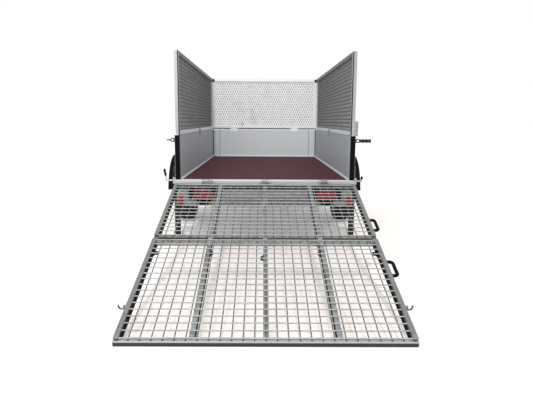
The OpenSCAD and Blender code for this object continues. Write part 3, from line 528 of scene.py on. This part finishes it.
def block(low, high, chamfer=0.0):
    # box with its long edges chamfered, and its ends a little less
    (x0, y0, z0), (x1, y1, z1) = low, high
    c = chamfer
    outline = [(x0, y0), (x1, y0), (x1, y1), (x0, y1)]
    if c:
        outline = [(x0 + c, y0), (x1 - c, y0), (x1, y0 + c), (x1, y1 - c),
                   (x1 - c, y1), (x0 + c, y1), (x0, y1 - c), (x0, y0 + c)]
    return prism(outline, z0, z1, c * 0.6)


def prism(outline, low, high, chamfer=0.0):
    # outline in X and Y drawn up along Z, its top and bottom edges pulled in by the chamfer
    middle = np.mean(outline, axis=0)
    size = np.ptp(np.array(outline), axis=0)
    pull = 1 - 2 * chamfer / size
    small = [tuple(middle + (np.array(p) - middle) * pull) for p in outline]
    levels = [(outline, low), (outline, high)]
    if chamfer:
        levels = [(small, low), (outline, low + chamfer), (outline, high - chamfer), (small, high)]
    points = [(x, y, z) for ring, z in levels for x, y in ring]
    return points, cappedFaces(len(levels), len(outline))


def sweep(path, radii, sides=8):
    # round bar along a path, its radius given at each point
    points = []
    for k, point in enumerate(path):
        way = path[min(k + 1, len(path) - 1)] - path[max(k - 1, 0)]
        turn = facing(point, way)
        points += [turn @ Vector((radii[k] * math.cos(a), radii[k] * math.sin(a), 0))
                   for a in np.linspace(0, math.tau, sides, endpoint=False)]
    return points, cappedFaces(len(path), sides)


beadMake = {"overlap": 0.9, "steps": 3, "fewest": 3, "waist": 0.82, "tip": 0.4}


def weldBead(start, end, radius):
    # row of overlapping puddles
    make = beadMake
    start, end = Vector(start), Vector(end)
    puddles = max(make["fewest"], round((end - start).length / (radius * make["overlap"])))
    steps = puddles * make["steps"]
    path = [start.lerp(end, k / steps) for k in range(steps + 1)]
    swell = [abs(math.sin(math.pi * k / make["steps"])) for k in range(steps + 1)]
    radii = [radius * (make["waist"] + (1 - make["waist"]) * share) for share in swell]
    radii[0] = radii[-1] = radius * make["tip"]
    return sweep(path, radii)


# expanded metal at its true pitch

def expandedSheet(wall, along, side, make):
    node = "upper_mesh_" + wall
    low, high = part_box(node)
    size = high - low
    cross = 1 - along
    columns = round(size[along] / make["shortWay"]) * 2
    rows = round(size.z / make["longWay"] * 2)
    stepU = size[along] / columns
    stepV = size.z / rows
    tilt = math.radians(make["tilt"])
    wide = np.array([math.cos(tilt), 0, math.sin(tilt)])  # across a strand
    deep = np.array([-math.sin(tilt), 0, math.cos(tilt)])  # through a strand
    section = [(-1, -1), (1, -1), (1, 1), (-1, 1)]

    def bar(start, end, width):
        ring = [a * wide * width / 2 + b * deep * make["gauge"] / 2 for a, b in section]
        return [point + corner for point in (start, end) for corner in ring]

    half = np.array([0, make["bondLength"] / 2, 0])
    tip = wide * make["strand"] / 2
    bars = []
    for n in range(columns + 1):
        for m in range(n % 2, rows + 1, 2):
            bond = np.array([n * stepU, m * stepV, 0])
            bars.append(bar(bond - half, bond + half, make["bondWidth"]))
            for way in (-1, 1):
                if n < columns and 0 <= m + way <= rows:
                    there = np.array([(n + 1) * stepU, (m + way) * stepV, 0])
                    lean = half * way * make["strandEnd"]
                    bars.append(bar(bond + lean + tip, there - lean - tip, make["strand"]))
    points = np.array(bars).reshape(-1, 3)
    placed = np.zeros_like(points)
    placed[:, along] = low[along] + points[:, 0]
    placed[:, 2] = low.z + points[:, 1]
    placed[:, cross] = (low[cross] + high[cross]) / 2 + side * points[:, 2]
    faces = cappedFaces(2, 4)
    shape = Shape()
    shape.points = placed.tolist()
    shape.faces = [tuple(8 * k + i for i in face) for k in range(len(bars)) for face in faces]
    name = "expandedMetal" + wall.title()
    shape.piece(name, "expanded_metal", "trailer", ownFinish.get(node), replaced=[node])


expandedSheet("left", 1, -1, sideMeshMake)
expandedSheet("right", 1, 1, sideMeshMake)
expandedSheet("front", 0, 1, frontMeshMake)


# tyres with road tread

tyreMake = {
    "steps": 116, "pitches": 58, "groove": 0.0075, "gap": 0.0045, "root": 0.004, "skew": 0.35,
    "skewWidth": 0.03,
    # (out from the bead, in from the widest place)
    "lowerSide": [(0, 0.019), (0.012, 0.018), (0.020, 0.010), (0.034, 0.0035), (0.052, 0.0004), (0.054, 0),
                  (0.060, 0), (0.062, 0.0006)],
    # (in from the crown, in from the widest place)
    "shoulder": [(0.0325, 0.003), (0.0225, 0.008), (0.017, 0.014), (0.009, 0.026), (0.0025, 0.048),
                 (0, 0.066)],
    # share of a pitch that a row of blocks is turned by, its profile of (distance from the middle, drop)
    "rows": [(0.0, [(-0.011, 0), (0, 0), (0.011, 0)]),
             (0.35, [(0.016, 0.0002), (0.025, 0.0014), (0.034, 0.003)]),
             (0.1, [(0.039, 0.004), (0.052, 0.0083), (0.062, 0.016), (0.069, 0.024)])],
}


def treadFaces(across):
    # a block of three lines across, each point followed by its root; open underneath
    last = (across - 1) * 2
    faces = []
    for line in range(2):
        a = line * across * 2
        b = a + across * 2
        faces += [(a + j, b + j, b + j + 2, a + j + 2) for j in range(0, last, 2)]
        faces.append((a + 1, b + 1, b, a))
        faces.append((a + last, b + last, b + last + 1, a + last + 1))
    end = across * 4
    faces += [(j, j + 2, j + 3, j + 1) for j in range(0, last, 2)]
    faces += [(end + j + 1, end + j + 3, end + j + 2, end + j) for j in range(0, last, 2)]
    return faces


def tyrePiece(wheel):
    make = tyreMake
    node = "tyre_" + wheel
    low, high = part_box(node)
    centre = (low + high) / 2
    radius = (high.z - low.z) / 2
    half = (high.x - low.x) / 2
    inner = min(math.hypot(p.y - centre.y, p.z - centre.z) for p in cornersOf(node))
    crown = radius - make["groove"]

    def around(x, reach, angle):
        return centre.x + x, centre.y + reach * math.cos(angle), centre.z + reach * math.sin(angle)

    side = [(inner + out, half - narrow) for out, narrow in make["lowerSide"]]
    side += [(crown - drop, half - narrow) for drop, narrow in make["shoulder"]]
    profile = side + [(r, -x) for r, x in reversed(side)]
    angles = np.linspace(0, math.tau, make["steps"], endpoint=False)
    shape = Shape()
    shape.add([around(x, r, a) for a in angles for r, x in profile],
              ringFaces(make["steps"], len(profile), closed=True))
    rows = [(turn, [(x, radius - drop) for x, drop in row]) for turn, row in make["rows"]]
    rows += [(turn + 0.5, [(-x, r) for x, r in reversed(row)]) for turn, row in rows[1:]]
    pitch = math.tau / make["pitches"]
    gap = make["gap"] / radius
    for turn, row in rows:
        faces = treadFaces(len(row))
        for k in range(make["pitches"]):
            points = []
            for end in (gap / 2, pitch / 2, pitch - gap / 2):
                for x, r in row:
                    angle = (k + turn) * pitch + end + make["skew"] * x * pitch / make["skewWidth"]
                    points += [around(x, reach, angle) for reach in (r, min(crown, r) - make["root"])]
            shape.add(points, faces)
    shape.piece("tyreTread" + wheel.title(), "tyre", "wheel_" + wheel, sharp=40, replaced=[node])


tyrePiece("left")
tyrePiece("right")


# wheel bolts and valves

boltMake = {"bolts": 5, "circle": 0.064, "turn": 0.25, "size": (0.0105, 0.013), "discRing": (0.10, 0.13),
            "valveAt": 0.128, "valveLean": -0.45, "valveSides": 12,
            "valve": [(0.006, -0.001), (0.006, 0.012), (0.004, 0.014), (0.004, 0.03), (0.0028, 0.032)]}


def wheelBolts(wheel, side):
    make = boltMake
    low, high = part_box("rim_" + wheel)
    axis = (low + high) / 2
    inner, outer = make["discRing"]
    spots = cornersOf("rim_" + wheel)
    disc = [p.x * side for p in spots if inner < math.hypot(p.y - axis.y, p.z - axis.z) < outer]
    face = side * max(disc)  # outside of the pressed disc
    shape = Shape()
    for k in range(make["bolts"]):
        a = math.tau * (k + make["turn"]) / make["bolts"]
        spot = (face, axis.y + make["circle"] * math.cos(a), axis.z + make["circle"] * math.sin(a))
        shape.add(*hexHead(*make["size"]), facing(spot, (side, 0, 0), a))
    valve = (face, axis.y, axis.z + make["valveAt"])
    shape.add(*turned(make["valve"], make["valveSides"]), facing(valve, (side, 0, make["valveLean"])))
    shape.piece("wheelBolts" + wheel.title(), "zinc", "wheel_" + wheel)


wheelBolts("left", -1)
wheelBolts("right", 1)


# prism faces on the red reflectors, and black bezels round the large ones

prismMake = {"cell": 0.006, "rise": 0.0018, "margin": 0.004}
bezelMake = {"width": 0.007, "depth": 0.007, "rimShare": 0.6}


def lensRows(node, side):
    # heights at which the lens has corners, with its left and right edge there, and its front
    spots = [p for p in cornersOf(node) if p.x * side > 0]
    heights = sorted({round(p.z, 4) for p in spots})
    levels = [[p.x for p in spots if abs(p.z - z) < 0.0001] for z in heights]
    lefts = [min(level) for level in levels]
    rights = [max(level) for level in levels]
    return heights, lefts, rights, min(p.y for p in spots)


def prismField(shape, heights, lefts, rights, front):
    c = prismMake["cell"]
    margin = prismMake["margin"]
    for j in range(int((heights[-1] - heights[0] - 2 * margin) / c)):
        low = heights[0] + margin + j * c
        left = np.interp([low, low + c], heights, lefts).max() + margin
        right = np.interp([low, low + c], heights, rights).min() - margin
        cells = int((right - left) / c)
        start = (left + right - cells * c) / 2
        for i in range(cells):
            x = start + i * c
            points = [(x, front, low), (x + c, front, low), (x + c, front, low + c), (x, front, low + c),
                      (x + c / 2, front - prismMake["rise"], low + c / 2)]
            shape.add(points, [(0, 1, 4), (1, 2, 4), (2, 3, 4), (3, 0, 4)])


def lampBezels():
    width, depth = bezelMake["width"], bezelMake["depth"]
    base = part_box("lamp_housings")[0].y
    shape = Shape()
    for side in (-1, 1):
        heights, lefts, rights, _ = lensRows("lamp_reflectors", side)
        outline = list(zip(rights, heights)) + list(zip(lefts, heights))[::-1]
        middle = np.mean(outline, axis=0)
        points = []
        for corner in np.array(outline):
            rim = corner + (corner - middle) / np.hypot(*(corner - middle)) * width
            points += [(corner[0], base, corner[1]), (corner[0], base - depth, corner[1]),
                       (rim[0], base - depth * bezelMake["rimShare"], rim[1]), (rim[0], base, rim[1])]
        shape.add(points, ringFaces(len(outline), 4, closed=True))
    shape.piece("lampBezels", "black_plastic", "trailer")


prisms = Shape()
for node in ("lamp_reflectors", "side_reflectors"):
    for side in (-1, 1):
        prismField(prisms, *lensRows(node, side))
prisms.piece("reflectorPrisms", "lens_red", "trailer", sharp=10)
lampBezels()


# ramp: weld nuggets on the wires, beads on the tubes, black strips of painted shade, flats, bolts

meshMake = {"pitch": 0.05, "wire": 0.006, "nugget": 0.0037, "nuggetTip": 0.001, "nuggetHalf": 0.0028,
            "nuggetBelt": 0.0008, "nuggetSides": 6}


def meshNuggets(section):
    make = meshMake
    spots = rampCorners(f"ramp_{section}_mesh")
    low, high = spots.min(axis=0), spots.max(axis=0)
    crossing = spots[spots[:, 2] > high[2] - make["wire"] / 2]
    first = crossing[:, 1].max() - make["wire"] / 2  # the wire nearest to the hinge
    last = crossing[:, 1].min() + make["wire"] / 2
    reach = int((high[0] - make["wire"]) / make["pitch"])
    layer = (low[2] + high[2]) / 2
    half = [(make["nugget"], make["nuggetBelt"]), (make["nuggetTip"], make["nuggetHalf"])]
    nugget = turned([(r, -z) for r, z in reversed(half)] + half, make["nuggetSides"])
    shape = Shape()
    for j in range(round((first - last) / make["pitch"]) + 1):
        for i in range(-reach, reach + 1):
            spot = (i * make["pitch"], first - j * make["pitch"], layer)
            shape.add(*nugget, rampPlace @ Matrix.Translation(spot))
    shape.piece("rampNuggets" + section.title(), "galvanised", "ramp_" + section)


meshNuggets("upper")
meshNuggets("lower")

frameMake = {"tube": 0.025, "head": 0.040, "bead": 0.0032, "bars": 5, "shadeStrip": 0.006, "barShadeStrip": 0.003,
             "shadeStripHeight": 0.023, "shadeStripDown": 0.001, "shadeStripEnd": 0.004, "footShadeStrip": 0.017,
             "meshIn": 0.002, "flat": 0.0015, "flatIn": 0.0005, "flatEdge": 0.001, "flatChamfer": 0.0008}
stripLow, stripHigh = rampBox("ramp_end_strip")
tubeLow, tubeTop = stripLow[2], stripHigh[2]
rampHalf = stripHigh[0]
barSpots = np.linspace(-1, 1, frameMake["bars"]) * (rampHalf - frameMake["tube"] / 2)


def rampFrameTrim(section, firstTube, headShade):
    make = frameMake
    half = make["tube"] / 2
    end = make["shadeStripEnd"]
    inside = rampHalf - make["tube"]
    top = rampBox(f"ramp_{section}_frame")[1][1] - firstTube  # lower edge of the section's first tube
    meshLow, meshHigh = rampBox(f"ramp_{section}_mesh")
    foot = meshLow[1] - make["meshIn"] + make["tube"]  # upper edge of its last tube
    welds, shadeStrips, flats = Shape(), Shape(), Shape()
    for x in barSpots:
        for y in (top, foot):
            welds.add(*weldBead((x - half, y, tubeTop), (x + half, y, tubeTop), make["bead"]), rampPlace)
            for edge in (x - half, x + half):
                if abs(edge) < inside + half:  # not on the ramp's outside
                    welds.add(*weldBead((edge, y, tubeLow), (edge, y, tubeTop), make["bead"]), rampPlace)
    shadeStripTop = tubeTop - make["shadeStripDown"]
    shadeStripLow = shadeStripTop - make["shadeStripHeight"]
    for x in barSpots[barSpots != 0]:  # black strips of painted shade on the sides that look to the ramp's middle
        side = np.sign(x)
        thick = make["shadeStrip"] if abs(x) > inside else make["barShadeStrip"]
        xs = sorted((x - side * half, x - side * (half + thick)))
        shadeStrips.add(*block((xs[0], foot + end, shadeStripLow), (xs[1], top - end, shadeStripTop)), rampPlace)
    # tubes whose rear face gets a black strip of painted shade, with the height that it goes up to
    shadedRears = [(top, shadeStripTop), (foot - make["tube"], shadeStripLow + make["footShadeStrip"])] if headShade else []
    for y, rearTop in shadedRears:
        for a, b in zip(barSpots, barSpots[1:]):
            low = (a + half + end, y - make["shadeStrip"], shadeStripLow)
            shadeStrips.add(*block(low, (b - half - end, y, rearTop)), rampPlace)
    for side in (-1, 1):  # flat bars over the wires' ends on the side tubes
        xs = span(side, rampHalf - make["flatEdge"], inside + make["flatIn"])
        low = (xs[0], meshLow[1], meshHigh[2] - make["flatEdge"])
        high = (xs[1], meshHigh[1], meshHigh[2] + make["flat"])
        flats.add(*block(low, high, make["flatChamfer"]), rampPlace)
    body = "ramp_" + section
    flats.piece("rampFlats" + section.title(), "galvanised", body, rampFrames)
    welds.piece("rampWelds" + section.title(), "galvanised", body)
    shadeStrips.piece("rampShadeStrips" + section.title(), "black_rubber", body)


rampFrameTrim("upper", frameMake["head"], True)
rampFrameTrim("lower", frameMake["tube"], False)

rampBoltMake = {"stud": (0.006, 0.004), "studUp": 0.75, "past": 0.112, "pastMiddle": 0.165,
                "size": (0.0125, 0.016), "sideSize": (0.0115, 0.030), "sideFrom": 0.6}


def rampBoltHeads():
    make = rampBoltMake
    tube = frameMake["tube"]
    foldAxis = rampPlace.inverted() @ Vector(joints["ramp_fold"]["pos_m"])
    shape = Shape()
    for x in barSpots:  # studs on the last tube
        spot = rampPlace @ Vector((x, stripHigh[1] + tube * make["studUp"], tubeTop))
        shape.add(*domeHead(*make["stud"]), facing(spot, rampPlace.to_3x3().col[2]))
    for x in barSpots:  # bolts that hold the fold plates, on the bars' sides
        side = 1 if x < 0 else -1
        size = make["sideSize"] if abs(x) > make["sideFrom"] * rampHalf else make["size"]
        past = make["past"] if x else make["pastMiddle"]
        spot = rampPlace @ Vector((x + side * tube / 2, foldAxis.y - past, (tubeLow + tubeTop) / 2))
        shape.add(*hexHead(*size), facing(spot, (side, 0, 0)))
    shape.piece("rampBolts", "dark_steel", "ramp_lower", finishes["black_rubber"])


rampBoltHeads()


# ribbed rubber seals on the rear posts, and thin lips beside and above them

sealMake = {"ribs": 3, "ribSteps": 8, "ribDepth": 0.0022, "lip": 0.007, "lipDepth": 0.0025,
            "frameLip": 0.007, "chamfer": 0.0008}


def ribbedSeals():
    make = sealMake
    low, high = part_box("post_seals")
    steps = make["ribs"] * make["ribSteps"]
    shape = Shape()
    for side in (-1, 1):
        xs = [p.x for p in cornersOf("post_seals") if p.x * side > 0]
        x0, x1 = min(xs), max(xs)
        wave = [(math.cos(math.tau * k / make["ribSteps"]) + 1) / 2 for k in range(steps + 1)]
        front = [(x0 + (x1 - x0) * k / steps, low.y + make["ribDepth"] * wave[k]) for k in range(steps + 1)]
        shape.add(*prism(front + [(x1, high.y), (x0, high.y)], low.z, high.z))
    shape.piece("postSealRibs", "black_rubber", "trailer", replaced=["post_seals"])


def sealLips():
    low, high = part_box("post_seals")
    frameLow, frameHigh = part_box("upper_frame_right")
    deep = sealMake["lipDepth"]
    chamfer = sealMake["chamfer"]
    shape = Shape()
    for side in (-1, 1):
        xs = span(side, high.x, high.x + sealMake["lip"])
        shape.add(*block((xs[0], high.y - deep, low.z), (xs[1], high.y, high.z), chamfer))
        xs = span(side, frameLow.x, frameLow.x + sealMake["frameLip"])  # inner edge of the frame's rear post
        shape.add(*block((xs[0], frameLow.y - deep, frameLow.z), (xs[1], frameLow.y, frameHigh.z), chamfer))
    shape.piece("sealLips", "black_rubber", "trailer")


ribbedSeals()
sealLips()


# rivets, screws and bolts on the trailer; sizes are (radius, height)

fastenerMake = {
    "rivet": (0.0055, 0.003), "screw": (0.0045, 0.0016), "bolt": (0.0085, 0.008),
    "floorScrews": 7, "floorEnds": 0.10, "floorIn": 0.055,
    "wallRivets": 5, "wallUp": 0.07, "wallDown": 0.03, "wallEnds": 0.03, "cornerIn": 0.025,
    "postUp": 0.045, "postDown": 0.015, "railRivets": 5, "railEnds": 0.25, "railUp": 0.015,
    "boardSheet": 0.003, "boardAcross": (0.10, 0.30), "boardDown": 0.02, "boardIn": 0.025,
    "boardUp": (0.11, 0.14), "lampIn": (0.015, 0.205), "lampDown": 0.016,
    "saddleIn": 0.02, "saddleAcross": (-0.042, 0.042), "saddleAlong": (-0.036, 0.036), "saddleDown": 0.015,
    "plateUp": (-0.018, 0.018), "plateShares": (-0.27, 0.27),
    "headAcross": (-0.055, 0.055), "headAlong": (0.05, 0.13), "headUp": 0.008,
    "lipHoleShades": 15, "lipReach": 0.35, "lipUp": 0.022, "holeSides": 14,
    "hole": [(0.005, -0.0005), (0.005, 0.0003), (0.0046, 0.0005)],
}
rivet = domeHead(*fastenerMake["rivet"])
screw = domeHead(*fastenerMake["screw"])
bolt = hexHead(*fastenerMake["bolt"])


def fasten(shape, head, xs, ys, zs, normal):
    # one head at each meeting of the given places
    for spot in itertools.product(xs, ys, zs):
        shape.add(*head, facing(spot, normal))


def bodyRivets(rivets, side):
    make = fastenerMake
    low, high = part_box("floor_panel")
    wallLow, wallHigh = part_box("side_wall_right")
    along = np.linspace(low.y + make["floorEnds"], high.y - make["floorEnds"], make["floorScrews"])
    fasten(rivets, screw, [side * (high.x - make["floorIn"])], along, [high.z], up)
    heights = np.linspace(high.z + make["wallUp"], wallHigh.z - make["wallDown"], make["wallRivets"])
    corner = side * (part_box("front_wall")[1].x - make["cornerIn"])
    fasten(rivets, rivet, [corner], [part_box("corner_trims")[0].y], heights, rear)
    ends = [wallLow.y + make["wallEnds"], wallHigh.y - make["wallEnds"]]
    fasten(rivets, rivet, [side * wallHigh.x], ends, heights, (side, 0, 0))


def frameRivets(rivets, side):
    make = fastenerMake
    low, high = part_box("upper_frame_right")
    post = side * (low.x + high.x) / 2
    fasten(rivets, rivet, [post], [low.y], [low.z + make["postUp"], high.z - make["postDown"]], rear)
    along = np.linspace(low.y + make["railEnds"], high.y - make["railEnds"], make["railRivets"])
    fasten(rivets, rivet, [side * high.x], along, [low.z + make["railUp"]], (side, 0, 0))


def boardRivets(rivets, side):
    make = fastenerMake
    low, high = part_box("light_board")
    lampLow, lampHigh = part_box("lamp_housings")
    sheet = [high.y - make["boardSheet"]]  # rear face of the light board's sheet
    across = [side * x for x in make["boardAcross"]]
    fasten(rivets, rivet, across, sheet, [high.z - make["boardDown"]], rear)
    heights = [low.z + z for z in make["boardUp"]]
    fasten(rivets, rivet, [side * (high.x - make["boardIn"])], sheet, heights, rear)
    across = [side * (lampHigh.x - x) for x in make["lampIn"]]
    fasten(rivets, screw, across, [lampLow.y], [lampHigh.z - make["lampDown"]], rear)


def saddleBolts(bolts, side):
    make = fastenerMake
    low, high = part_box("axle_beam")
    saddle = side * (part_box("chassis_rails")[1].x - make["saddleIn"])
    across = [saddle + x for x in make["saddleAcross"]]
    along = [(low.y + high.y) / 2 + y for y in make["saddleAlong"]]
    fasten(bolts, bolt, across, along, [high.z - make["saddleDown"]], down)


def tiePlate(side, onFront):
    # corners of a tie plate on the front wall or on a side wall, without the stay on the rear post
    plates = [p for p in cornersOf("upper_brackets") if p.x * side > 0]
    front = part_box("front_wall")[0].y - 0.01
    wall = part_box("side_wall_right")[0].x + 0.001
    if onFront:
        return [p for p in plates if p.y > front]
    return [p for p in plates if p.y < front and p.x * side < wall]


def plateRivets(rivets, side):
    for onFront, normal in ((True, rear), (False, (-side, 0, 0))):
        plate = tiePlate(side, onFront)
        low, high = np.min(plate, axis=0), np.max(plate, axis=0)
        middle = (low + high) / 2
        spread = [middle + share * (high - low) for share in fastenerMake["plateShares"]]
        heights = [middle[2] + z for z in fastenerMake["plateUp"]]
        xs = [p[0] for p in spread] if onFront else [low[0] if side > 0 else high[0]]
        ys = [low[1]] if onFront else [p[1] for p in spread]
        fasten(rivets, rivet, xs, ys, heights, normal)


def trailerFasteners():
    make = fastenerMake
    rivets, bolts, holeShades = Shape(), Shape(), Shape()
    for side in (-1, 1):
        bodyRivets(rivets, side)
        frameRivets(rivets, side)
        boardRivets(rivets, side)
        plateRivets(rivets, side)
        saddleBolts(bolts, side)
    along = [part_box("coupling_head")[0].y + y for y in make["headAlong"]]
    fasten(bolts, bolt, make["headAcross"], along, [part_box("drawbar_tubes")[1].z + make["headUp"]], up)
    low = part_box("light_board")[0]
    across = np.linspace(-make["lipReach"], make["lipReach"], make["lipHoleShades"])  # in the board's lip; black discs there are painted shade for its holes
    fasten(holeShades, turned(make["hole"], make["holeSides"]), across, [low.y], [low.z + make["lipUp"]], rear)
    holeShades.piece("lipHoleShades", "black_plastic", "trailer")
    rivets.piece("trailerRivets", "zinc", "trailer")
    bolts.piece("trailerBolts", "zinc", "trailer")


trailerFasteners()


# black strips on the front frame, black strips of painted shade in the front corners, grey beads of painted shade
# beside the corner strips, clips on the frames' top corners

frontStripMake = {"low": 0.003, "high": 0.013, "deep": 0.006, "gap": 0.002, "sunk": 0.001, "chamfer": 0.001,
                 "corner": 0.008, "cornerChamfer": 0.002, "strip": 0.080, "grooveShade": 0.005,
                 "grooveShadeDeep": 0.003, "clip": (0.022, 0.012, 0.030), "clipIn": 0.014, "clipDown": 0.004,
                 "clipChamfer": 0.003, "clipBolt": (0.006, 0.006)}


def frontBlackStrips():
    make = frontStripMake
    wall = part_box("front_wall")[0].y
    frameLow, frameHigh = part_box("upper_frame_front")
    trimLow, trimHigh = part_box("corner_trims")
    strips, grooveShades, clips = Shape(), Shape(), Shape()
    plate = [p.x for p in tiePlate(1, True)]
    stops = [-frameHigh.x, -max(plate), -min(plate), min(plate), max(plate), frameHigh.x]
    for a, b in zip(stops[::2], stops[1::2]):  # strip on the lower rail, left open at the tie plates
        low = (a + make["gap"], frameLow.y - make["deep"], frameLow.z + make["low"])
        high = (b - make["gap"], frameLow.y + make["sunk"], frameLow.z + make["high"])
        strips.add(*block(low, high, make["chamfer"]))
    for side in (-1, 1):
        # painted shade: a black strip in each front corner, where the side wall meets the front wall
        xs = span(side, trimHigh.x, trimHigh.x - make["corner"])
        low = (xs[0], wall - make["corner"], trimLow.z)
        strips.add(*block(low, (xs[1], wall - make["grooveShadeDeep"], trimHigh.z), make["cornerChamfer"]))
        shadeLine = trimHigh.x - make["strip"]  # painted shade: a grey bead beside the corner strip stands for the shade along its edge
        xs = span(side, shadeLine, shadeLine - make["grooveShade"])
        low = (xs[0], wall - make["grooveShadeDeep"], trimLow.z)
        grooveShades.add(*block(low, (xs[1], wall + make["sunk"], trimHigh.z), make["chamfer"]))
        x, y, z = make["clip"]
        low = Vector((side * (frameHigh.x - make["clipIn"]) - x / 2, frameLow.y - y,
                      frameHigh.z - z - make["clipDown"]))
        clips.add(*block(low, low + Vector((x, y, z)), make["clipChamfer"]))
        clips.add(*hexHead(*make["clipBolt"]), facing(low + Vector((x / 2, 0, z / 2)), rear))
    strips.piece("frontBlackStrips", "black_rubber", "trailer")
    grooveShades.piece("cornerGrooveShade", "black_rubber", "trailer", greyGrooveShade)
    clips.piece("frameClips", "dark_steel", "trailer")


frontBlackStrips()


# studio: floor, light and camera

studio = {"floor": 60.0, "floorColour": (230, 222, 217), "floorGrain": (238, 232, 228), "grain": 0.05,
          "floorRough": 0.9, "floorShine": 0.1, "floorLift": 0.20, "skyLight": 0.71,
          "sunPower": 1.7, "sunAngle": 5.0, "sunAt": (0, 0, 8), "sunAim": (0.03, 0.8, -1.0),
          "fillPower": 90.0, "fillSize": 3.0, "fillAt": (-2.0, -5.0, 2.8), "fillAim": (0.2, 0.8, 0.75)}


def seenRays(shade):  # 1 for rays from the camera, straight or by way of metal and glass
    kinds = ("Camera", "Glossy", "Transmission")
    camera, glossy, through = [shade.node("LightPath", output=f"Is {kind} Ray") for kind in kinds]
    return shade.maths("MAXIMUM", camera, shade.maths("MAXIMUM", glossy, through))


def makeFloor():
    mesh = bpy.data.meshes.new("studioFloor")
    reach = studio["floor"]
    corners = [(-reach, -reach, 0), (reach, -reach, 0), (reach, reach, 0), (-reach, reach, 0)]
    mesh.from_pydata(corners, [], [(0, 1, 2, 3)])
    floor = bpy.data.objects.new("studioFloor", mesh)
    bpy.context.scene.collection.objects.link(floor)
    steady = {"Roughness": studio["floorRough"], "Specular IOR Level": studio["floorShine"]}
    shade = newFinish("floorPaper", steady)
    grain = shade.noise(studio["grain"], shade.place())
    paper = shade.mix(grain, tint(*studio["floorColour"]), tint(*studio["floorGrain"]))
    lift = shade.node("Emission", None, {"Strength": studio["floorLift"]})
    dark = shade.node("Emission", None, {"Strength": 0.0})
    shown = shade.node("MixShader", None, {0: seenRays(shade), 1: dark, 2: lift})
    body = Wire(shade, shade.tree.nodes["Principled BSDF"].outputs[0])
    both = shade.node("AddShader", None, {0: body, 1: shown})
    shade.feed(shade.tree.nodes["Material Output"].inputs["Surface"], both)
    mesh.materials.append(dress(shade, colour=paper))


def makeWorld():
    world = bpy.data.worlds.new("studioWorld")
    world.use_nodes = True
    bpy.context.scene.world = world
    shade = Shade(world.node_tree)
    white = shade.node("Background", None, {"Color": (1, 1, 1, 1), "Strength": 1.0})
    light = shade.node("Background", None, {"Color": (1, 1, 1, 1), "Strength": studio["skyLight"]})
    both = shade.node("MixShader", None, {0: seenRays(shade), 1: light, 2: white})
    shade.feed(world.node_tree.nodes["World Output"].inputs["Surface"], both)


def hangLamp(name, kind, power, spot, aim, **settings):
    lamp = bpy.data.lights.new(name, kind)
    lamp.energy = power
    for key, value in settings.items():
        setattr(lamp, key, value)
    held = bpy.data.objects.new(name, lamp)
    held.location = spot
    held.rotation_euler = Vector(aim).to_track_quat("-Z", "Y").to_euler()
    bpy.context.scene.collection.objects.link(held)


makeFloor()
makeWorld()
hangLamp("keyLight", "SUN", studio["sunPower"], studio["sunAt"], studio["sunAim"],
         angle=math.radians(studio["sunAngle"]))
hangLamp("fillLight", "AREA", studio["fillPower"], studio["fillAt"],
         Vector(studio["fillAim"]) - Vector(studio["fillAt"]), size=studio["fillSize"])

cameraMake = {"at": (-0.0190, -4.7223, 0.9714), "turn": -0.478, "down": 9.064, "roll": 0.365,
              "focalPixels": 498.2, "imageWidth": 533, "sensorWidth": 36.0}


def makeCamera():
    make = cameraMake
    lens = bpy.data.cameras.new("photoCamera")
    lens.sensor_width = make["sensorWidth"]
    lens.lens = make["focalPixels"] * make["sensorWidth"] / make["imageWidth"]
    camera = bpy.data.objects.new("photoCamera", lens)
    turn = Matrix.Rotation(math.radians(make["turn"]), 4, "Z")
    tip = Matrix.Rotation(math.radians(90 - make["down"]), 4, "X")
    roll = Matrix.Rotation(math.radians(make["roll"]), 4, "Z")
    camera.matrix_world = Matrix.Translation(make["at"]) @ turn @ tip @ roll
    bpy.context.scene.collection.objects.link(camera)
    bpy.context.scene.camera = camera


makeCamera()
bpy.context.scene.view_settings.view_transform = "Standard"
print("studio ready")
